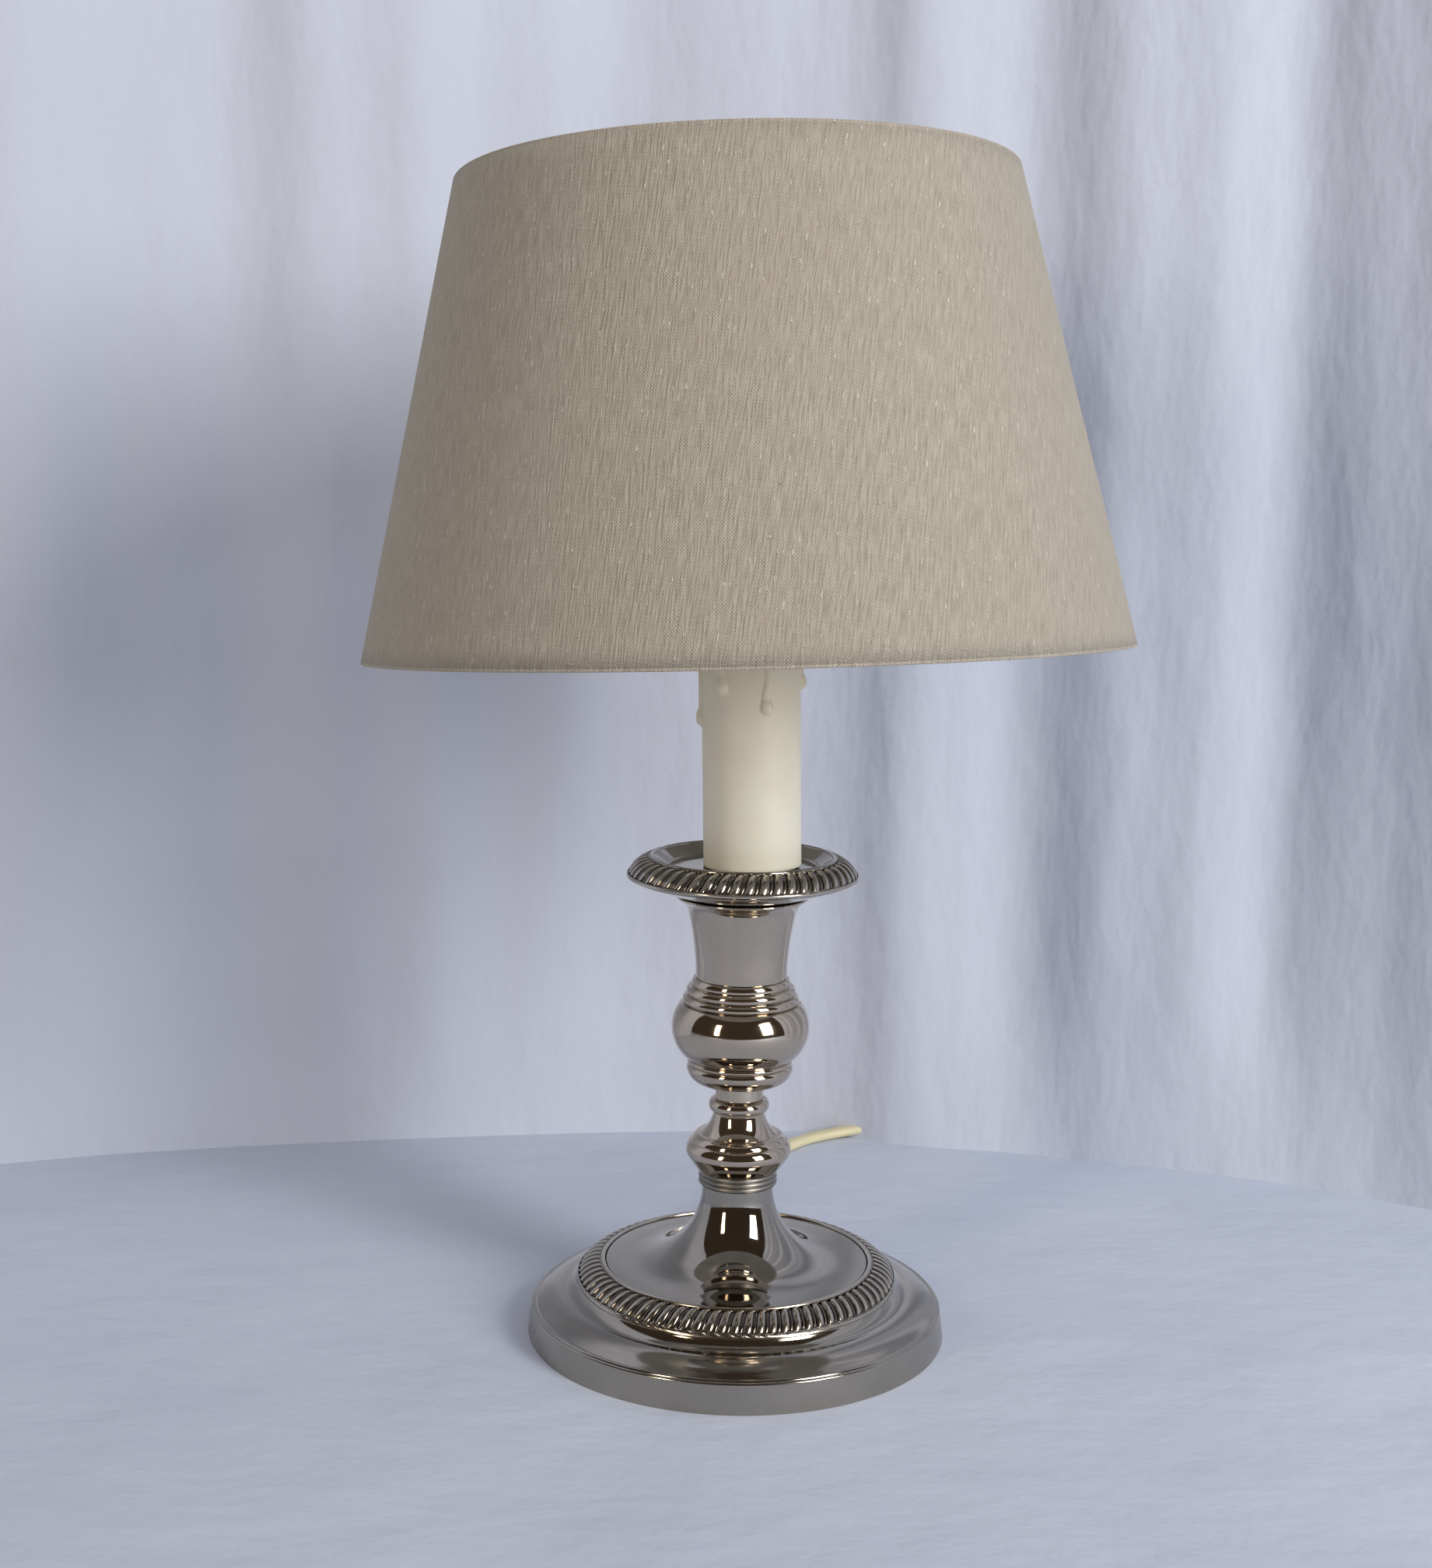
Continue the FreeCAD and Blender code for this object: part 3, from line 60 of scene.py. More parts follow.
camera.matrix_world = Matrix.Translation(eye) @ looking
scene.camera = camera
scene.view_settings.view_transform = "Standard"


# ---------------------------------------------------------------- lead
# Flat two-core lead in pale yellow PVC, 5.2 by 3.2 mm, extruded over its cores. It leaves the foot through
# the strain relief, lies over the table to the hand switch, and runs on through a coil to the plug.
def material(name, colour, rough, metal=0.0, **sockets):
    """A plain material: its colour, roughness, metal, and any other values by socket name."""
    made = bpy.data.materials.new(name)
    made.use_nodes = True
    shader = made.node_tree.nodes["Principled BSDF"]
    shader.inputs["Base Color"].default_value = (*colour, 1)
    shader.inputs["Roughness"].default_value = rough
    shader.inputs["Metallic"].default_value = metal
    for socket, value in sockets.items():
        shader.inputs[socket.replace("_", " ")].default_value = value
    return made


def node(made, kind, links=(), **values):
    """Add a shader node; links are (socket, source output), values set its own fields."""
    added = made.node_tree.nodes.new(kind)
    for key, value in values.items():
        setattr(added, key, value)
    for socket, source in links:
        if isinstance(source, (int, float, tuple)):
            added.inputs[socket].default_value = source
        else:
            made.node_tree.links.new(source, added.inputs[socket])
    return added


def noise(made, scale, detail=3.0, stretch=None, rough=0.55):
    """Noise in the piece's own place, stretched along an axis where the grain runs."""
    at = node(made, "ShaderNodeTexCoord").outputs["Object"]
    if stretch:
        at = node(made, "ShaderNodeMapping", [("Vector", at), ("Scale", stretch)]).outputs["Vector"]
    return node(made, "ShaderNodeTexNoise", [("Vector", at), ("Scale", scale), ("Detail", detail),
                                             ("Roughness", rough)]).outputs["Fac"]


def ramp(made, source, low, high, a=(0, 0, 0), b=(1, 1, 1)):
    """Two colours with a smooth change between two values of the source."""
    added = node(made, "ShaderNodeValToRGB", [("Fac", source)])
    added.color_ramp.elements[0].position = low
    added.color_ramp.elements[0].color = (*a, 1)
    added.color_ramp.elements[1].position = high
    added.color_ramp.elements[1].color = (*b, 1)
    return added.outputs["Color"]


def spread(made, source, low, high):
    """A value between low and high that follows the source."""
    return node(made, "ShaderNodeMapRange", [("Value", source), ("From Min", 0.3), ("From Max", 0.7),
                                             ("To Min", low), ("To Max", high)]).outputs["Result"]


def into(made, socket, source):
    made.node_tree.links.new(source, made.node_tree.nodes["Principled BSDF"].inputs[socket])


def bump(made, source, depth, strength=1.0, under=None):
    """Raise the surface with the source, in metres of depth."""
    links = [("Height", source), ("Distance", depth), ("Strength", strength)]
    if under:
        links.append(("Normal", under))
    raised = node(made, "ShaderNodeBump", links).outputs["Normal"]
    into(made, "Normal", raised)
    return raised


def blended(made, fac, a, b):
    """Mix of two colours or colour sources by fac."""
    added = node(made, "ShaderNodeMix", data_type="RGBA")
    for socket, value in ((0, fac), (6, a), (7, b)):
        if isinstance(value, (int, float)):
            added.inputs[socket].default_value = value
        elif isinstance(value, tuple):
            added.inputs[socket].default_value = (*value, 1)
        else:
            made.node_tree.links.new(value, added.inputs[socket])
    return added.outputs[2]


def soft_pvc(name, colour):
    """Moulded or drawn PVC: an even colour with a faint cloudiness and a fine skin."""
    made = material(name, colour, 0.42, Subsurface_Weight=0.12, Specular_IOR_Level=0.45)
    shader = made.node_tree.nodes["Principled BSDF"]
    shader.inputs["Subsurface Radius"].default_value = (0.0012, 0.0009, 0.0006)
    cloud = noise(made, 60.0, 4.0)
    into(made, "Base Color", ramp(made, cloud, 0.3, 0.7, tuple(c * 0.9 for c in colour), colour))
    into(made, "Roughness", spread(made, noise(made, 900.0), 0.36, 0.5))
    bump(made, noise(made, 1600.0), 0.00004, 0.6)
    return made


pale_pvc = soft_pvc("pale yellow pvc", (0.72, 0.66, 0.43))
ivory_pvc = soft_pvc("ivory pvc", (0.70, 0.66, 0.53))


def flat_outline():
    """The lead's section: two round edges and the flat between them."""
    line = bpy.data.curves.new("lead_section", "CURVE")
    line.dimensions = "2D"
    spline = line.splines.new("POLY")
    half_flat, edge_r, edge_steps = 0.0010, 0.0016, 8
    points = []
    for side in (1, -1):
        for i in range(edge_steps + 1):
            turn = math.radians(-90 * side + 180 / edge_steps * i)
            points.append((side * half_flat + edge_r * math.cos(turn), edge_r * math.sin(turn)))
    spline.points.add(len(points) - 1)
    for p, (x, y) in zip(spline.points, points):
        p.co = (x, y, 0, 1)
    spline.use_cyclic_u = True
    shape = bpy.data.objects.new("lead_section", line)
    scene.collection.objects.link(shape)
    shape.hide_render = True
    shape.hide_viewport = True
    return shape


lead_section = flat_outline()


def lead_line(name, points, made):
    """A stretch of the lead, through given points in metres, its width kept level."""
    line = bpy.data.curves.new(name, "CURVE")
    line.dimensions = "3D"
    line.twist_mode = "Z_UP"
    line.bevel_mode = "OBJECT"
    line.bevel_object = lead_section
    line.use_fill_caps = True
    line.resolution_u = 8
    spline = line.splines.new("NURBS")
    spline.points.add(len(points) - 1)
    for p, (x, y, z) in zip(spline.points, points):
        p.co = (x, y, z, 1)
    spline.order_u = 3
    spline.use_endpoint_u = True
    piece = bpy.data.objects.new(name, line)
    scene.collection.objects.link(piece)
    line.materials.append(made)
    return piece


first_lead = lead_line("first_lead", [
    (0.0, 0.0790, 0.0043), (0.0, 0.0880, 0.0043), (0.0003, 0.0982, 0.0034), (0.0013, 0.1085, 0.0022),
    (0.0034, 0.1195, 0.0016), (0.0066, 0.1305, 0.0016), (0.0114, 0.1410, 0.0016), (0.0177, 0.1508, 0.0016),
    (0.0250, 0.1598, 0.0016), (0.0344, 0.1664, 0.0018), (0.0454, 0.1696, 0.0028), (0.0560, 0.1711, 0.0047),
    (0.06632, 0.172933, 0.0051), (0.073234, 0.174028, 0.0051)], pale_pvc)
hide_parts("cord_lead")
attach(first_lead, "stand")

# The coil: half turns that step in by half the pitch on the lower layer, one that climbs, and half turns
# out again on the upper layer.
coil_x, coil_y, outer_turn, inner_turn, half_pitch = 0.112, 0.237, 0.0390, 0.0216, 0.0029
lower_layer, upper_layer = 0.0016, 0.0054


def coil_points():
    """Control points of the coil, 24 to a turn, and its last quarter turn at the outer radius."""
    points = []
    spans = [(outer_turn - half_pitch * i, lower_layer, lower_layer) for i in range(6)]
    spans.append((inner_turn, lower_layer, upper_layer))
    spans += [(inner_turn + half_pitch * (i + 1), upper_layer, upper_layer) for i in range(5)]
    x, side = coil_x + outer_turn, 1
    for radius, low, high in spans:
        middle = x - side * radius
        for i in range(12):
            turn = math.pi * (i + 0.5) / 12
            reach = radius / math.cos(math.pi / 24)
            points.append((middle + side * reach * math.cos(turn),
                           coil_y + side * reach * math.sin(turn),
                           low + (high - low) * (i + 0.5) / 12))
        x -= side * 2 * radius
        side = -side
    middle = x - side * outer_turn
    for i in range(6):
        turn = math.pi * (i + 0.5) / 12
        reach = outer_turn / math.cos(math.pi / 24)
        points.append((middle + side * reach * math.cos(turn),
                       coil_y + side * reach * math.sin(turn), upper_layer))
    return points


rest_of_lead = lead_line("rest_of_lead", [
    (0.110766, 0.179972, 0.0051), (0.11768, 0.181067, 0.0051), (0.1272, 0.1830, 0.0049),
    (0.1350, 0.1866, 0.0039), (0.1414, 0.1923, 0.0026), (0.1460, 0.1996, 0.0017), (0.1486, 0.2082, 0.0016),
    (0.1510, 0.2208, 0.0016), (0.1510, 0.2318, 0.0016), *coil_points(),
    (0.1068, 0.2760, 0.0054), (0.0976, 0.2760, 0.0054), (0.0885, 0.2747, 0.0048), (0.0799, 0.2717, 0.0045),
    (0.0722, 0.2668, 0.0054), (0.06583, 0.25994, 0.0070), (0.0609, 0.2529, 0.0070)], pale_pvc)
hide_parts("cord_tail", "cord_coil", "cord_end")
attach(rest_of_lead, "stand")


# ---------------------------------------------------------------- hand switch, plug and strain relief
# Moulded in ivory PVC as it comes from the tool, with the strip that ties the coil; the rocker's pin, the
# screws and the plug's two pins are nickelled. The screws hold the two halves of the switch on the lead.
def paint(made, slot_name, *names):
    """Give frame pieces their material; the slot that it stands for is not used."""
    for name in names:
        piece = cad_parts[name]
        piece.data.materials.clear()
        piece.data.materials.append(made)


nickel = material("nickel", (0.70, 0.66, 0.60), 0.2, 1.0)
into(nickel, "Roughness", spread(nickel, noise(nickel, 350.0), 0.14, 0.3))
bump(nickel, noise(nickel, 900.0), 0.00001)
paint(ivory_pvc, "ivory_pvc", "strain_relief", "switch_base", "switch_cover", "switch_rocker", "plug_body",
      "coil_tie")
paint(pale_pvc, "ivory_pvc", "inner_lead")
paint(nickel, "nickel", "rocker_pin", "switch_screws", "plug_pins")


# ---------------------------------------------------------------- foot
# Pressed shell, gadrooned strip and cast dish, all silver plated, with a warm grey shine painted darker than
# the stem's: painted shade for the dim room that they mirror. The skirt is satin from polishing, the dish is
# bright, and the strip is painted dark down its lobes into its grooves: painted shade. The strip is soldered
# to the deck, and the dish stands inside it.
# Unless it is given a tint, a plate takes a darker warm grey than the stem's: painted shade for what it
# mirrors.
def plate(name, low, high, scratch=0.35, grain=(1, 1, 1), tint=(0.42, 0.388, 0.34)):
    """Worn silver plate: clouds of duller metal, fine scratches and a slight waviness from the spinning."""
    made = material(name, tint, (low + high) / 2, 1.0)
    cloud = noise(made, 38.0, 5.0)
    dust = noise(made, 420.0, 3.0)
    scratches = noise(made, 700.0, 4.0, grain, 0.7)
    both = blended(made, 0.5, cloud, dust)
    into(made, "Roughness", spread(made, both, low, high))
    into(made, "Base Color", ramp(made, cloud, 0.32, 0.68, tuple(c * 0.86 for c in tint), tint))
    waves = bump(made, noise(made, 55.0, 2.0), 0.00012, 0.25)
    bump(made, scratches, 0.00002, scratch, waves)
    return made


shell_plate_painted_darker = plate("silver plate, satin on the skirt", 0.05, 0.12, 0.3, (1, 1, 14))
satin_to, polished_from, satin_rough = 0.0070, 0.0078, 0.17
shell_up = node(shell_plate_painted_darker, "ShaderNodeSeparateXYZ",
                [("Vector", node(shell_plate_painted_darker, "ShaderNodeTexCoord").outputs["Object"])]).outputs["Z"]
satin = node(shell_plate_painted_darker, "ShaderNodeMapRange",
             [("Value", shell_up), ("From Min", satin_to), ("From Max", polished_from),
              ("To Min", satin_rough), ("To Max", 0.0)]).outputs["Result"]
polish = shell_plate_painted_darker.node_tree.nodes["Principled BSDF"].inputs["Roughness"].links[0].from_socket
into(shell_plate_painted_darker, "Roughness", node(shell_plate_painted_darker, "ShaderNodeMath", [(0, polish), (1, satin)],
                                    operation="ADD").outputs[0])
# The stem's plate is tinted lighter and warmer than the rest: painted reflection.
stem_plate_painted_lighter = plate("bright silver plate", 0.04, 0.10, 0.2, tint=(0.57, 0.495, 0.405))
dish_plate_painted_darker = plate("silver plate of the dishes", 0.03, 0.09, 0.15)
dull_plate = plate("dull plate", 0.34, 0.5, 0.7, (1, 1, 10), (0.30, 0.285, 0.26))


def profile_points(start, steps, soften=0.00016):
    """Points of a profile, in metres from steps in mm: (r, z) runs straight to there, (r, z, r, z) is an arc
    through the first of the two, and sharp corners are eased."""
    points = [tuple(v / 1000 for v in start)]
    for step in steps:
        a = Vector(points[-1])
        c = Vector(v / 1000 for v in step[-2:])
        if len(step) == 2:
            points.append(tuple(c))
            continue
        b = Vector(v / 1000 for v in step[:2])
        d = 2 * (a.x * (b.y - c.y) + b.x * (c.y - a.y) + c.x * (a.y - b.y))
        sa, sb, sc = a.length_squared, b.length_squared, c.length_squared
        o = Vector(((sa * (b.y - c.y) + sb * (c.y - a.y) + sc * (a.y - b.y)) / d,
                    (sa * (c.x - b.x) + sb * (a.x - c.x) + sc * (b.x - a.x)) / d))
        first = math.atan2(a.y - o.y, a.x - o.x)
        turn = math.atan2(c.y - o.y, c.x - o.x) - first
        via = math.atan2(b.y - o.y, b.x - o.x) - first
        turn %= 2 * math.pi
        if via % (2 * math.pi) > turn:
            turn -= 2 * math.pi
        count = max(6, int(abs(turn) / math.radians(5)))
        r = (a - o).length
        for i in range(1, count + 1):
            at = first + turn * i / count
            points.append((o.x + r * math.cos(at), o.y + r * math.sin(at)))
    eased = []
    count = len(points)
    for i, p in enumerate(points):
        before, here, after = Vector(points[i - 1]), Vector(p), Vector(points[(i + 1) % count])
        u, v = here - before, after - here
        if min(u.length, v.length) < 1e-7 or u.angle(v) < math.radians(18) or here.x < 1e-6:
            eased.append(tuple(here))
            continue
        cut = min(soften, u.length * 0.4, v.length * 0.4)
        a, b = here - u.normalized() * cut, here + v.normalized() * cut
        eased += [tuple(a * (1 - t) ** 2 + here * (2 * t * (1 - t)) + b * t * t)
                  for t in (0, 0.25, 0.5, 0.75, 1)]
    return eased


def grid_piece(name, rows, made):
    """A mesh from rings of points: every ring is closed, and the last one joins the first."""
    count, n = len(rows), len(rows[0])
    faces = []
    for i in range(count):
        above = (i + 1) % count
        for j in range(n):
            beside = (j + 1) % n
            faces.append((i * n + j, i * n + beside, above * n + beside, above * n + j))
    mesh = bpy.data.meshes.new(name)
    mesh.from_pydata([p for row in rows for p in row], [], faces)
    mesh.validate()
    mesh.polygons.foreach_set("use_smooth", [True] * len(mesh.polygons))
    mesh.materials.append(made)
    piece = bpy.data.objects.new(name, mesh)
    scene.collection.objects.link(piece)
    return piece


def turned(name, stands_for, made, start, *steps, ring=240):
    """A turned piece about the stick's axis, for the frame piece of that name, from its profile in mm."""
    turns = [math.tau * j / ring for j in range(ring)]
    rows = [[(r * math.cos(turn), r * math.sin(turn), z) for turn in turns]
            for r, z in profile_points(start, steps)]
    piece = grid_piece(name, rows, made)
    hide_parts(stands_for)
    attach(piece, "stand")


turned("skirt_and_deck", "foot_shell", shell_plate_painted_darker,
       (55.7, 0), (57.0, 0), (56.0, 7.4), (55.85, 7.75, 55.5, 7.9), (55.0, 8.5, 54.5, 8.4),
       (51.0, 10.45, 47.5, 11.6), (44.95, 12.45, 43.5, 14.2), (5.05, 14.2), (5.05, 13.0), (42.2, 13.0),
       (46.85, 10.3), (51.0, 9.15, 54.7, 7.14), ring=300)


def gadroon(name, stands_for, made, edge, middle, inner, rest, lobes, lean_across, curl, rise, wide, fade):
    """A gadrooned strip. Its crown is the arc through edge, middle and inner, set with slanted S-curved
    lobes, a wide one and a narrow one in turn; rest closes its section: inner bead, underside and edge."""
    crown = profile_points(edge, [(*middle, *inner)])
    # Each point's lobe height, which the material paints dark in the grooves and light on the crowns: painted
    # shade.
    rows, lobe_shade_values = [], []
    per_lobe, fine = 18, 30
    ring = lobes * per_lobe
    for i in range(fine + 1):
        v = i / fine
        at = v * (len(crown) - 1)
        k = min(int(at), len(crown) - 2)
        a, b = Vector(crown[k]), Vector(crown[k + 1])
        here, along = a.lerp(b, at - k), (b - a).normalized()
        out = Vector((along.y, -along.x))
        tips = min(1.0, v / fade, (1 - v) / fade)
        tips = math.sqrt(max(0.0, 1 - (1 - tips) ** 2))
        lean = lean_across * v + curl * math.sin(math.tau * v)
        row = []
        for j in range(ring):
            s = (j / per_lobe) % 1.0
            if s < wide:
                t = 2 * s / wide - 1
                lift = rise * math.sqrt(max(0.0, 1 - t * t)) ** 0.8
            else:
                t = 2 * (s - wide) / (1 - wide) - 1
                lift = rise * 0.5 * math.sqrt(max(0.0, 1 - t * t))
            p = here + out * (lift * tips - rise * 0.75)
            turn = math.tau * j / ring + lean
            row.append((p.x * math.cos(turn), p.x * math.sin(turn), p.y))
            lobe_shade_values.append(lift * tips / rise if 0 < i < fine else 0.5)
        rows.append(row)
    turns = [math.tau * j / ring + lean_across for j in range(ring)]
    for r, z in profile_points(inner, rest)[1:]:
        lobe_shade_values += [1.0] * ring
        rows.append([(r * math.cos(turn), r * math.sin(turn), z) for turn in turns])
    piece = grid_piece(name, rows, made)
    piece.data.attributes.new("groove_shade", "FLOAT", "POINT").data.foreach_set("value", lobe_shade_values)
    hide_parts(stands_for)
    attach(piece, "stand")


# Painted shade: the strips are dark in their grooves and down their lobes' sides, and light on the crowns.
lobe_plate = plate("silver plate painted dark in its grooves", 0.12, 0.26, 0.3)
groove_shade = node(lobe_plate, "ShaderNodeAttribute", attribute_name="groove_shade").outputs["Fac"]
into(lobe_plate, "Base Color",
     ramp(lobe_plate, groove_shade, 0.22, 0.92, (0.018, 0.014, 0.011), (0.52, 0.475, 0.41)))

gadroon("foot_gadroons", "foot_border", lobe_plate, (43.3, 15.5), (40.87, 18.18), (37.2, 19.4),
        [(36.6, 20.0, 36.0, 19.4), (36.0, 14.2), (43.3, 14.2)],
        lobes=80, lean_across=0.096, curl=0.006, rise=0.00062, wide=0.66, fade=0.16)
turned("dish_and_trumpet", "foot_dish", dish_plate_painted_darker,
       (5.05, 14.2), (35.75, 14.2), (35.75, 19.5), (30.0, 19.75), (21.94, 21.6, 15.2, 26.4),
       (10.95, 33.25, 9.6, 41.2), (5.05, 41.2))


# ---------------------------------------------------------------- inside the foot
# A rough cast iron weight, closed below by a grey board with a green felt disc glued on. A wedge of board
# holds the lead inside. The tube through the stick, its nuts and the washer are zinc plated steel.
cast = material("cast iron", (0.035, 0.035, 0.037), 0.62, 0.0)
bump(cast, noise(cast, 260.0, 5.0), 0.0004, 0.8)
into(cast, "Roughness", spread(cast, noise(cast, 120.0), 0.5, 0.75))
zinc = material("zinc plated steel", (0.55, 0.56, 0.58), 0.35, 1.0)
into(zinc, "Roughness", spread(zinc, noise(zinc, 200.0), 0.25, 0.45))
into(zinc, "Base Color", ramp(zinc, noise(zinc, 90.0), 0.3, 0.7, (0.42, 0.43, 0.44), (0.58, 0.59, 0.60)))
board = material("grey board", (0.30, 0.27, 0.22), 0.85)
into(board, "Base Color",
     ramp(board, noise(board, 700.0, 4.0), 0.35, 0.65, (0.22, 0.19, 0.15), (0.34, 0.31, 0.26)))
bump(board, noise(board, 900.0, 4.0), 0.0001)
felt = material("green felt", (0.025, 0.07, 0.04), 0.95, Sheen_Weight=0.5)
into(felt, "Base Color",
     ramp(felt, noise(felt, 900.0, 5.0), 0.3, 0.7, (0.012, 0.04, 0.022), (0.035, 0.095, 0.055)))
bump(felt, noise(felt, 700.0, 5.0), 0.0004)
paint(cast, "cast_weight", "base_weight")
paint(zinc, "zinc_steel", "threaded_tube", "lower_nut", "lower_washer", "upper_nut")
paint(board, "board", "base_cover", "lead_wedge")
pad_r, pad_ragged, pad_middle, pad_under, pad_top, pad_ring = 0.0516, 0.00012, 0.0004, 0.00004, 0.00098, 240
pad_random = random.Random(4)
pad_edge = [pad_r + pad_random.uniform(-pad_ragged, pad_ragged) for _ in range(pad_ring)]


def pad_row(radii, z):
    """A ring of the felt disc."""
    return [(r * math.cos(math.tau * j / pad_ring), r * math.sin(math.tau * j / pad_ring), z)
            for j, r in enumerate(radii)]


pad_rows = [pad_row([pad_middle] * pad_ring, pad_top)]
for shrink, z in ((0.003, pad_top), (0.0002, pad_top), (0.0, 0.0008), (0.0, 0.0003), (0.0002, 0.00006),
                  (0.003, pad_under)):
    pad_rows.append(pad_row([r - shrink for r in pad_edge], z))
pad_rows.append(pad_row([pad_middle] * pad_ring, pad_under))
felt_pad = grid_piece("felt_pad", pad_rows, felt)
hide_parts("felt_disc")
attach(felt_pad, "stand")


# ---------------------------------------------------------------- stem
# Turned pieces of silver plated brass: a dull grooved collar, then polished knops, rings, a ball and a vase,
# the polished ones in a plate painted lighter and warmer than the foot's: painted reflection. They are
# stacked on the tube inside and drawn together by its nuts.
turned("grooved_collar", "neck_collar", dull_plate,
       (5.05, 41.2), (10.35, 41.2), (10.7, 41.87, 10.35, 42.53), (10.7, 43.2, 10.35, 43.87),
       (10.7, 44.53, 10.35, 45.2), (5.05, 45.2))
turned("flat_knop", "lower_knop", stem_plate_painted_lighter,
       (5.05, 45.2), (11.0, 45.2), (12.7, 47.44, 13.95, 49.38), (14.3, 51.01, 13.2, 53.36), (12.75, 53.46),
       (12.4, 54.38, 10.6, 55.4), (5.05, 55.4))
turned("cone_and_neck", "stem_neck", stem_plate_painted_lighter,
       (5.05, 55.4), (10.4, 55.4), (8.15, 57.88, 6.9, 61.3), (8.25, 63.3, 6.45, 65.3), (6.45, 68.9),
       (5.05, 68.9))
turned("ring_under_ball", "ball_foot", stem_plate_painted_lighter,
       (5.05, 68.9), (7.4, 68.9), (9.8, 69.6), (13.3, 71.12, 14.3, 73.04), (14.15, 74.5, 13.6, 75.0),
       (14.1, 75.15), (14.2, 75.6, 13.6, 76.3), (5.05, 76.3))
turned("ball", "ball_knop", stem_plate_painted_lighter,
       (5.05, 76.3), (14.078, 76.3), (18.7, 85.0, 16.281, 91.7), (5.05, 91.7))
turned("stepped_ring", "stepped_rings", stem_plate_painted_lighter,
       (5.05, 91.7), (15.4, 91.7), (15.75, 92.87, 15.0, 94.03), (14.4, 94.03), (14.75, 95.2, 14.1, 96.37),
       (13.2, 96.37), (13.3, 97.53, 12.7, 98.7), (5.05, 98.7))
turned("vase", "vase_socket", stem_plate_painted_lighter,
       (5.05, 98.7), (12.3, 98.7), (12.95, 108.1, 14.7, 117.5), (15.6, 118.95, 17.3, 120.4),
       (17.7, 120.75, 17.3, 121.1), (5.05, 121.1))

# ---------------------------------------------------------------- drip pan
# A spun pan of silver plate painted darker, like the foot's: painted shade. It slopes up from the vase to a
# flat floor with a rounded wall round it, with a gadrooned strip of its own soldered on the slope, painted
# dark into its grooves like the foot's strip. The nut on the tube, inside the candle sleeve, holds it.
turned("pan", "drip_pan", dish_plate_painted_darker,
       (5.05, 121.1), (16.7, 121.1), (29.95, 125.7), (30.55, 126.3), (25.2, 130.3), (25.2, 131.4),
       (24.6, 132.0, 24.0, 131.4), (21.0, 129.0), (5.05, 129.0))
gadroon("pan_gadroons", "pan_border", lobe_plate, (30.67, 126.9), (28.7, 129.92), (25.2, 131.4),
        [(25.2, 130.3), (30.55, 126.3), (31.15, 126.3), (31.15, 126.9)],
        lobes=50, lean_across=0.171, curl=0.012, rise=0.00068, wide=0.64, fade=0.14)

# ---------------------------------------------------------------- candle sleeve
# Moulded ivory plastic tube that looks like wax, with runs down its side. It is slipped loose over the
# lampholder and stands on the pan's floor, leaning by 1.4 degrees with the bent tube.
pan_floor, candle_lean = 0.129, math.radians(-1.4)
candle = Matrix.Translation((0, 0, pan_floor)) @ Matrix.Rotation(candle_lean, 4, "Y")
wax = material("ivory wax plastic", (0.92, 0.87, 0.70), 0.36, Subsurface_Weight=0.15, Specular_IOR_Level=0.5)
wax.node_tree.nodes["Principled BSDF"].inputs["Subsurface Radius"].default_value = (0.0018, 0.0013, 0.0007)
height = node(wax, "ShaderNodeSeparateXYZ", [("Vector", node(wax, "ShaderNodeTexCoord").outputs["Object"])])
up_tube = node(wax, "ShaderNodeMapRange",
               [("Value", height.outputs["Z"]), ("From Min", pan_floor), ("From Max", 0.189),
                ("To Min", 0.0), ("To Max", 1.0)]).outputs["Result"]
tinted = blended(wax, up_tube, (0.77, 0.765, 0.665), (0.88, 0.77, 0.55))
mottle = noise(wax, 130.0, 5.0)
yellowed = blended(wax, 0.10, tinted, (0.62, 0.52, 0.32))
into(wax, "Base Color", blended(wax, ramp(wax, mottle, 0.35, 0.7), yellowed, tinted))
into(wax, "Roughness", spread(wax, noise(wax, 260.0), 0.34, 0.52))
bump(wax, noise(wax, 420.0, 3.0), 0.00006, 0.35, bump(wax, noise(wax, 90.0, 2.0), 0.00022, 0.3))
# Each run: where it is round the tube in degrees, the height of its drop and the drop's radius, in mm.
runs = [(-178, 37.5, 2.0), (-160, 55, 1.7), (-126, 46.8, 1.8), (-98, 58, 1.5), (-72, 41.5, 1.7),
        (-40, 60, 1.6), (-6, 47, 1.8), (30, 38, 1.3), (48, 56, 1.7), (75, 43, 1.6), (112, 60, 1.8),
        (150, 47, 1.7)]
sleeve_r, sleeve_in, sleeve_h, body_out, drop_out = 13.1, 12.0, 85.0, 0.85, 1.6
sleeve_stands = (0.0025, 0, 0.000309)


def wax_height(angle, h):
    """How far the runs stand out of the tube there, in mm."""
    out = 0.0
    for at, end, r in runs:
        bend = 2.5 * math.sin(h * 0.45 + at) * min(1.0, max(0.0, (h - end) / 6))
        across = math.radians((angle - at - bend + 180) % 360 - 180) * sleeve_r / r
        if abs(across) > 1.2:
            continue
        up = (h - end - r) / r
        fade = min(1.0, max(0.0, up))
        body = body_out * max(0.0, 1 - (across / 0.72) ** 2) ** 0.6 * fade
        drop = drop_out * max(0.0, 1 - across * across - (up * (0.55 if up > 0 else 1.0)) ** 2) ** 0.6
        out = max(out, body, drop)
    return out


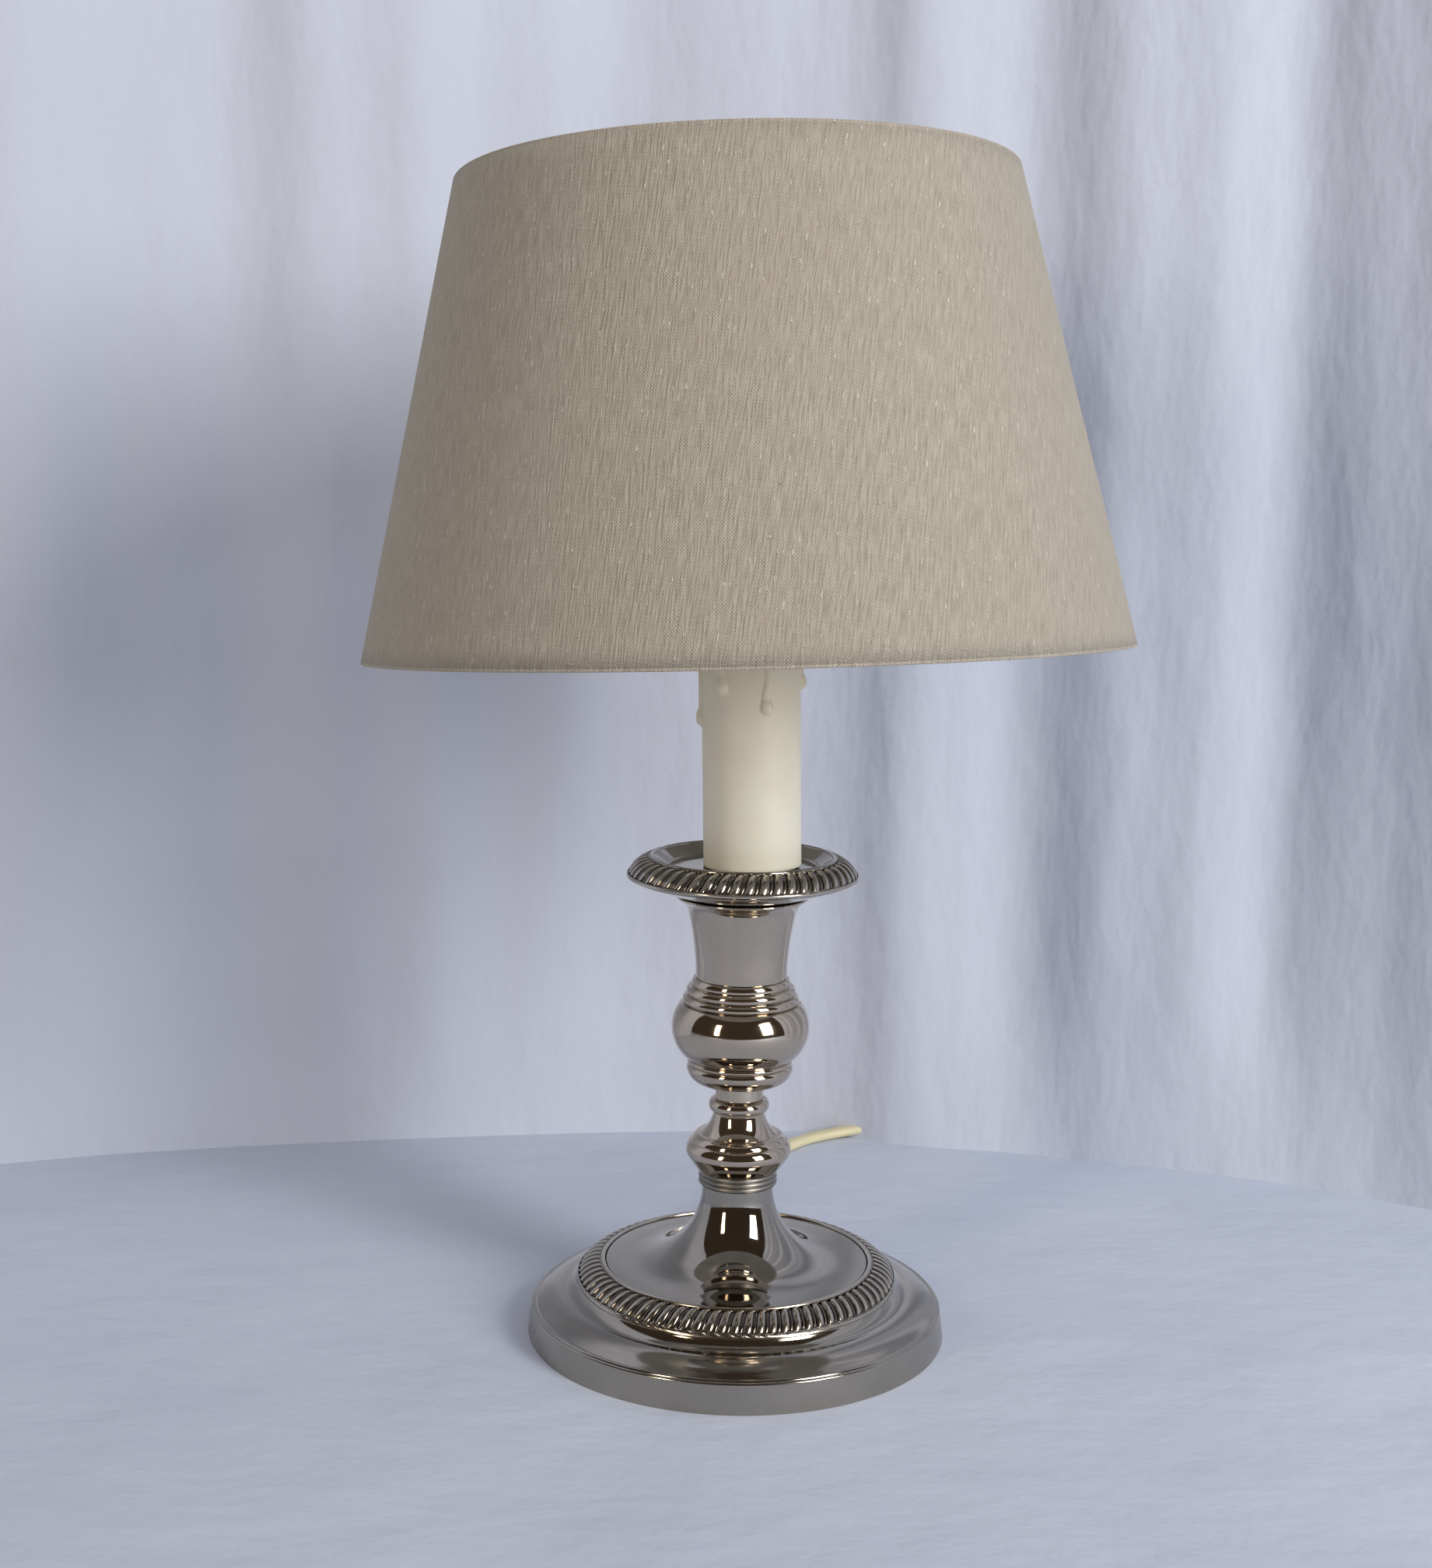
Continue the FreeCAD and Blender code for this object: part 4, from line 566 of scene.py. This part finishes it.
sleeve_rows = []
around, tall = 420, 210
for r, h in ((sleeve_in, sleeve_h), (sleeve_in, 0.0), (sleeve_r - 0.3, 0.0)):
    sleeve_rows.append([(r, h)] * around)
for i in range(tall + 1):
    h = 0.3 + (sleeve_h - 0.6) * i / tall
    sleeve_rows.append([(sleeve_r + wax_height(360 * j / around, h), h) for j in range(around)])
sleeve_rows.append([(sleeve_r - 0.3, sleeve_h)] * around)
turns = [math.tau * j / around for j in range(around)]
sleeve_rows = [[(r / 1000 * math.cos(turn), r / 1000 * math.sin(turn), h / 1000)
                for turn, (r, h) in zip(turns, row)] for row in sleeve_rows]
sleeve = grid_piece("wax_sleeve", sleeve_rows, wax)
sleeve.data.transform(candle @ Matrix.Translation(sleeve_stands))
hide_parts("candle_sleeve")
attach(sleeve, "sleeve")

# ---------------------------------------------------------------- lampholder and bulb
# A small holder of dark moulded plastic with a brass thread shell, screwed on the end of the tube, and a
# clear candle bulb with a nickel cap screwed into it. A brown and a blue core come up the tube to it.
holder = material("dark moulded plastic", (0.03, 0.028, 0.027), 0.45)
into(holder, "Roughness", spread(holder, noise(holder, 500.0), 0.35, 0.55))
bump(holder, noise(holder, 800.0), 0.00004)
brass = material("brass", (0.75, 0.56, 0.28), 0.3, 1.0)
into(brass, "Roughness", spread(brass, noise(brass, 300.0), 0.22, 0.42))
into(brass, "Base Color", ramp(brass, noise(brass, 150.0), 0.3, 0.7, (0.55, 0.38, 0.17), (0.78, 0.59, 0.30)))
glass = material("clear bulb glass", (0.97, 0.98, 0.97), 0.02, Transmission_Weight=1.0, IOR=1.45)
into(glass, "Roughness", spread(glass, noise(glass, 120.0), 0.01, 0.06))
tungsten = material("tungsten", (0.16, 0.15, 0.14), 0.4, 1.0)
into(tungsten, "Roughness", spread(tungsten, noise(tungsten, 3000.0), 0.3, 0.5))
solder = material("black insulator", (0.02, 0.02, 0.022), 0.3)
into(solder, "Roughness", spread(solder, noise(solder, 700.0), 0.22, 0.4))
paint(holder, "holder_plastic", "holder_cap", "holder_body", "terminal_block")
paint(brass, "brass", "holder_shell", "centre_contact")
paint(nickel, "nickel", "bulb_cap")
paint(solder, "holder_plastic", "bulb_tip")
paint(glass, "glass", "bulb_glass", "bulb_stem")
paint(tungsten, "nickel", "filament")
brown_core = material("brown core", (0.10, 0.045, 0.02), 0.5)
blue_core = material("blue core", (0.03, 0.09, 0.25), 0.5)
for core in (brown_core, blue_core):
    into(core, "Roughness", spread(core, noise(core, 800.0), 0.4, 0.6))
paint(brown_core, "brown_core", "core_brown")
paint(blue_core, "blue_core", "core_blue")

# ---------------------------------------------------------------- clip, yoke and frame
# The clip is sprung nickelled wire that grips the bulb, with the yoke riveted on top of it. The shade's
# frame is steel wire, soldered and dipped in white, and hangs in the yoke on a pin.
white_wire = material("white coated wire", (0.72, 0.70, 0.65), 0.4)
into(white_wire, "Roughness", spread(white_wire, noise(white_wire, 300.0), 0.3, 0.5))
bump(white_wire, noise(white_wire, 500.0), 0.00006)
paint(nickel, "spring_wire", "bulb_clip", "swivel_rivet", "shade_yoke", "tilt_pin")
paint(white_wire, "white_wire", "shade_frame", "shade_lower_ring")

# ---------------------------------------------------------------- shade
# Natural linen in plain weave on a stiff white lining, rolled into a cone from one flat cut. It is glued
# round the wire rings, and folded over them at both rims. The shade hangs tilted by 2.77 degrees.
shade_round, pin_height, shade_hangs = 19.0, 0.16351, math.radians(-2.77)
shade_place = (candle @ Matrix.Rotation(math.radians(shade_round), 4, "Z")
               @ Matrix.Translation((0, 0, pin_height)) @ Matrix.Rotation(shade_hangs, 4, "X"))
shade_low, shade_top, low_r, top_r = -0.106, 0.015, 0.100, 0.072
half_angle = math.atan((low_r - top_r) / (shade_top - shade_low))
# The warp runs straight up the cone 35 degrees round from the front, so the grain leans as photographed.
front, grain_round = -90, 35
grain_at = math.radians(front - shade_round - grain_round)


def linen_material(name):
    """Plain weave: threads of uneven thickness both ways, slubs along them, and paler and darker yarns."""
    depth = 0.00016
    made = material(name, (0.50, 0.45, 0.37), 0.88, Sheen_Weight=0.25, Sheen_Roughness=0.5,
                    Specular_IOR_Level=0.25)
    flat = node(made, "ShaderNodeTexCoord").outputs["UV"]
    wander = node(made, "ShaderNodeTexNoise",
                  [("Vector", flat), ("Scale", 90.0), ("Detail", 2.0)]).outputs["Color"]
    bent = node(made, "ShaderNodeMix", data_type="RGBA")
    bent.blend_type = "LINEAR_LIGHT"
    bent.inputs[0].default_value = 0.0005
    made.node_tree.links.new(flat, bent.inputs[6])
    made.node_tree.links.new(wander, bent.inputs[7])
    cloth = bent.outputs[2]

    def threads(scale, detail):
        """Noise drawn out along one direction of the cloth."""
        at = node(made, "ShaderNodeMapping", [("Vector", cloth), ("Scale", scale)]).outputs["Vector"]
        return node(made, "ShaderNodeTexNoise",
                    [("Vector", at), ("Scale", 1.0), ("Detail", detail)]).outputs["Fac"]

    def weave(direction):
        """The threads that lie side by side in one direction of the cloth, 1.33 to the millimetre."""
        added = node(made, "ShaderNodeTexWave", [("Vector", cloth), ("Scale", 419.0), ("Distortion", 0.8),
                                                 ("Detail", 1.0), ("Detail Scale", 2.0)])
        added.bands_direction = direction
        return added.outputs["Fac"]

    across, along = weave("X"), weave("Y")
    check = node(made, "ShaderNodeMath", [(0, across), (1, along)], operation="MULTIPLY").outputs[0]
    either = node(made, "ShaderNodeMath", [(0, across), (1, along)], operation="MAXIMUM").outputs[0]
    crossing = node(made, "ShaderNodeMath", [(0, either), (1, check)], operation="SUBTRACT").outputs[0]
    warp_slub, weft_slub = threads((2000, 150, 1), 2.0), threads((200, 2000, 1), 2.0)
    less = node(made, "ShaderNodeMath", [(0, weft_slub), (1, 0.25)], operation="MULTIPLY").outputs[0]
    slubs = node(made, "ShaderNodeMath", [(0, warp_slub), (1, less)], operation="ADD").outputs[0]
    slub_half = node(made, "ShaderNodeMath", [(0, slubs), (1, 0.8)], operation="MULTIPLY").outputs[0]
    yarn = ramp(made, slub_half, 0.34, 0.66, (0.35, 0.312, 0.25), (0.51, 0.465, 0.39))
    patches = node(made, "ShaderNodeTexNoise",
                   [("Vector", flat), ("Scale", 16.0), ("Detail", 2.0)]).outputs["Fac"]
    faded = ramp(made, patches, 0.35, 0.65, (0, 0, 0), (0.3, 0.3, 0.3))
    yarn = blended(made, faded, yarn, (0.42, 0.375, 0.31))
    thick = ramp(made, threads((1500, 350, 1), 0.0), 0.735, 0.79)
    yarn = blended(made, thick, yarn, (0.64, 0.59, 0.50))
    holes = ramp(made, crossing, 0.15, 0.75, (0.62, 0.58, 0.53), (1, 1, 1))
    shaded = node(made, "ShaderNodeMix", data_type="RGBA", blend_type="MULTIPLY")
    shaded.inputs[0].default_value = 0.75
    made.node_tree.links.new(yarn, shaded.inputs[6])
    made.node_tree.links.new(holes, shaded.inputs[7])
    into(made, "Base Color", shaded.outputs[2])
    relief = bump(made, crossing, depth, 0.6)
    relief = bump(made, slub_half, depth * 3, 1.0, relief)
    bump(made, thick, depth * 1.5, 0.8, relief)
    return made


linen = linen_material("natural linen")


def cone_r(h):
    """The shade's radius at a height."""
    return low_r - (low_r - top_r) * (h - shade_low) / (shade_top - shade_low)


def rolled(name, sections, made, stands_for, ring=360):
    """Cloth rolled to the shade's cone, with its flat cut as its UV; sections are the (height, outset) of its
    own section, all the way round."""
    rows = []
    for h, outset in sections:
        r = cone_r(h)
        row = []
        for j in range(ring):
            turn = math.tau * j / ring
            waves = 0.00007 * math.sin(5 * turn + 1.3) + 0.00004 * math.sin(11 * turn + h * 60)
            row.append(((r + outset + waves) * math.cos(turn), (r + outset + waves) * math.sin(turn), h))
        rows.append(row)
    piece = grid_piece(name, rows, made)
    layer = piece.data.uv_layers.new(name="cloth")
    uv = []
    for loop in piece.data.loops:
        i, j = divmod(loop.vertex_index, ring)
        slant = cone_r(sections[i][0]) / math.sin(half_angle)
        turn = (math.tau * j / ring - grain_at + math.pi) % math.tau - math.pi
        uv += [slant * math.sin(turn * math.sin(half_angle)), slant * math.cos(turn * math.sin(half_angle))]
    layer.data.foreach_set("uv", uv)
    piece.data.transform(shade_place)
    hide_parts(stands_for)
    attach(piece, "shade")
    return piece


skin_steps, skin_inset, cloth_thick = 24, 0.0006, 0.0006
skin_tall = shade_top - shade_low - 2 * skin_inset
skin = [(shade_low + skin_inset + skin_tall * i / skin_steps, 0.0) for i in range(skin_steps + 1)]
back = [(h, -cloth_thick) for h, _ in reversed(skin)]
shade_cloth = rolled("shade_cloth", skin + back, linen, "shade_linen")
# The fold at a rim, as (in from the rim, out from the cone): flush with the cloth outside, round the edge,
# and up the inside.
fold = [(0.0026, -0.0002), (0.0026, -0.00004), (0.0009, -0.00001), (0.0006, 0.00001), (0.0003, 0.00001),
        (0.0001, -0.0001), (0.0, -0.0004), (0.0001, -0.0010), (0.0004, -0.0013), (0.0040, -0.0014),
        (0.0040, -0.0011), (0.0006, -0.0009)]
low_fold = [(shade_low + up, outset) for up, outset in reversed(fold)]
high_fold = [(shade_top - down, outset) for down, outset in fold]
low_hem = rolled("low_hem", low_fold, linen, "lower_hem")
high_hem = rolled("high_hem", high_fold, linen, "upper_hem")
lining = material("white shade lining", (0.66, 0.63, 0.57), 0.7, Specular_IOR_Level=0.3)
into(lining, "Base Color",
     ramp(lining, noise(lining, 350.0, 4.0), 0.3, 0.7, (0.60, 0.57, 0.50), (0.69, 0.66, 0.60)))
bump(lining, noise(lining, 900.0, 3.0), 0.00005)
paint(lining, "lining", "shade_lining")

# ---------------------------------------------------------------- where it stands
# A pale cloth on the table and a bluish cloth that hangs behind it. The line where they meet is the table's
# far edge in the photograph; it bends in front of the hand switch, so that the switch isn't seen from there.
table_cloth = material("white table cloth", (0.56, 0.61, 0.72), 0.9)
into(table_cloth, "Base Color",
     ramp(table_cloth, noise(table_cloth, 9.0, 3.0), 0.3, 0.7, (0.525, 0.575, 0.69), (0.575, 0.625, 0.74)))
creases = bump(table_cloth, noise(table_cloth, 9.0, 5.0, (1, 1.6, 1)), 0.009, 0.4)
bump(table_cloth, noise(table_cloth, 900.0, 3.0), 0.0002, 0.4, creases)
floor_mesh = bpy.data.meshes.new("table")
table_half = 3
table_corners = [(x * table_half, y * table_half, 0) for x, y in ((-1, -1), (1, -1), (1, 1), (-1, 1))]
floor_mesh.from_pydata(table_corners, [], [(0, 1, 2, 3)])
floor_mesh.materials.append(table_cloth)
table = bpy.data.objects.new("table", floor_mesh)
scene.collection.objects.link(table)

hanging = material("pale hanging cloth", (0.55, 0.585, 0.685), 0.95)
crumple = bump(hanging, noise(hanging, 13.0, 5.0, (1, 1, 0.4)), 0.010, 0.6)
bump(hanging, noise(hanging, 800.0, 3.0), 0.0002, 0.4, crumple)
# From behind the cloth is clear, and it lets light through, so it neither hides nor shades the lamp.
faces_back = node(hanging, "ShaderNodeNewGeometry").outputs["Backfacing"]
clear = node(hanging, "ShaderNodeBsdfTransparent")
shading = node(hanging, "ShaderNodeLightPath").outputs["Is Shadow Ray"]
seen_through = node(hanging, "ShaderNodeMath", [(0, faces_back), (1, shading)],
                    operation="MAXIMUM").outputs[0]
either_side = node(hanging, "ShaderNodeMixShader", [("Fac", seen_through)])
hanging.node_tree.links.new(hanging.node_tree.nodes["Principled BSDF"].outputs[0], either_side.inputs[1])
hanging.node_tree.links.new(clear.outputs[0], either_side.inputs[2])
hanging_out = hanging.node_tree.nodes["Material Output"].inputs["Surface"]
hanging.node_tree.links.new(either_side.outputs[0], hanging_out)
edge_line = [(-0.9, -0.2), (-0.62, -0.03), (-0.4, 0.062), (-0.2435, 0.1259), (-0.1878, 0.1433),
             (-0.1257, 0.1566), (-0.083, 0.164), (-0.0393, 0.17), (0.0054, 0.1735), (0.028, 0.1728),
             (0.042, 0.1690), (0.057, 0.1612), (0.076, 0.1572), (0.0954, 0.154), (0.1233, 0.1465),
             (0.1633, 0.1337), (0.2182, 0.1069), (0.38, 0), (0.6, -0.15), (0.85, -0.34)]
smooth_line = []
for a, b, c, d in zip(edge_line, edge_line[1:], edge_line[2:], edge_line[3:]):
    for i in range(30):
        t = i / 30
        smooth_line.append(tuple(0.5 * (2 * b[k] + (c[k] - a[k]) * t
                                        + (2 * a[k] - 5 * b[k] + 4 * c[k] - d[k]) * t * t
                                        + (3 * b[k] - a[k] - 3 * c[k] + d[k]) * t ** 3) for k in (0, 1)))


def fold_depth(along, up):
    """How far the hanging cloth stands off its line there: upright folds, none where it meets the table."""
    wide = math.sin(math.tau * along / 0.118 + 1.1 * math.sin(math.tau * along / 0.41)
                    + 0.5 * math.sin(3 * up))
    narrow = math.sin(math.tau * along / 0.052 + 2.0 * math.sin(math.tau * along / 0.29 + 1.0) + 1.5 * up)
    return (0.0040 * wide + 0.0012 * narrow) * min(1.0, up / 0.07)


cloth_tall, cloth_steps = 0.9, 60
levels = [cloth_tall * (k / cloth_steps) ** 1.3 for k in range(cloth_steps + 1)]
cloth_points = []
hang_mesh = bpy.data.meshes.new("backdrop")
count = len(smooth_line)
for z in levels:
    along = 0.0
    for i, (x, y) in enumerate(smooth_line):
        px, py = smooth_line[max(i - 1, 0)]
        nx, ny = smooth_line[min(i + 1, count - 1)]
        along += math.hypot(x - px, y - py)
        reach = math.hypot(nx - px, ny - py)
        depth = fold_depth(along, z)
        cloth_points.append((x - (ny - py) / reach * depth, y + (nx - px) / reach * depth, z))
hang_mesh.from_pydata(cloth_points, [],
                      [(k * count + i, k * count + i + 1, (k + 1) * count + i + 1, (k + 1) * count + i)
                       for k in range(len(levels) - 1) for i in range(count - 1)])
hang_mesh.polygons.foreach_set("use_smooth", [True] * len(hang_mesh.polygons))
hang_mesh.materials.append(hanging)
backdrop = bpy.data.objects.new("backdrop", hang_mesh)
scene.collection.objects.link(backdrop)

# ---------------------------------------------------------------- room light
# A bright window to the right and a small warm one to the left, both mirrored in the metal, and a weak lamp
# above that isn't. The light all round is faintly blue, and the metal mirrors a dim room, paler to the back.
room = bpy.data.worlds.new("room")
scene.world = room
room.use_nodes = True
sky = room.node_tree.nodes["Background"]
sky.inputs["Color"].default_value = (0.90, 0.93, 1.0, 1)
sky.inputs["Strength"].default_value = 0.15
away = node(room, "ShaderNodeSeparateXYZ",
            [("Vector", node(room, "ShaderNodeTexCoord").outputs["Generated"])]).outputs["Y"]
pale_wall = ramp(room, away, 0.05, 0.45, (0.062, 0.045, 0.033), (0.30, 0.30, 0.31))
mirrored_room = node(room, "ShaderNodeBackground", [("Color", pale_wall), ("Strength", 1.0)])
rays = node(room, "ShaderNodeLightPath")
choice = node(room, "ShaderNodeMixShader", [("Fac", rays.outputs["Is Glossy Ray"])])
room.node_tree.links.new(sky.outputs[0], choice.inputs[1])
room.node_tree.links.new(mirrored_room.outputs[0], choice.inputs[2])
room.node_tree.links.new(choice.outputs[0], room.node_tree.nodes["World Output"].inputs["Surface"])


def window(name, at, towards, width, tall, power, colour):
    """A soft rectangular light, its power in watts, that shows in the metal as a window."""
    data = bpy.data.lights.new(name, "AREA")
    data.shape = "RECTANGLE"
    data.size = width
    data.size_y = tall
    data.energy = power
    data.color = colour
    lamp = bpy.data.objects.new(name, data)
    lamp.location = at
    lamp.rotation_euler = (Vector(towards) - Vector(at)).to_track_quat("-Z", "Y").to_euler()
    scene.collection.objects.link(lamp)
    return lamp


window("right_window", (1.10, -1.05, 0.72), (0, 0, 0.15),
       width=0.50, tall=0.9, power=22.0, colour=(1.0, 0.975, 0.94))
window("left_window", (-0.98, -1.18, 0.60), (0, 0, 0.12),
       width=0.22, tall=0.8, power=6.0, colour=(1.0, 0.85, 0.66))
room_light = window("room_light", (0.4, -1.1, 1.6), (0, 0.1, 0.1),
                    width=1.0, tall=0.6, power=4.0, colour=(0.93, 0.96, 1.0))
room_light.visible_glossy = False
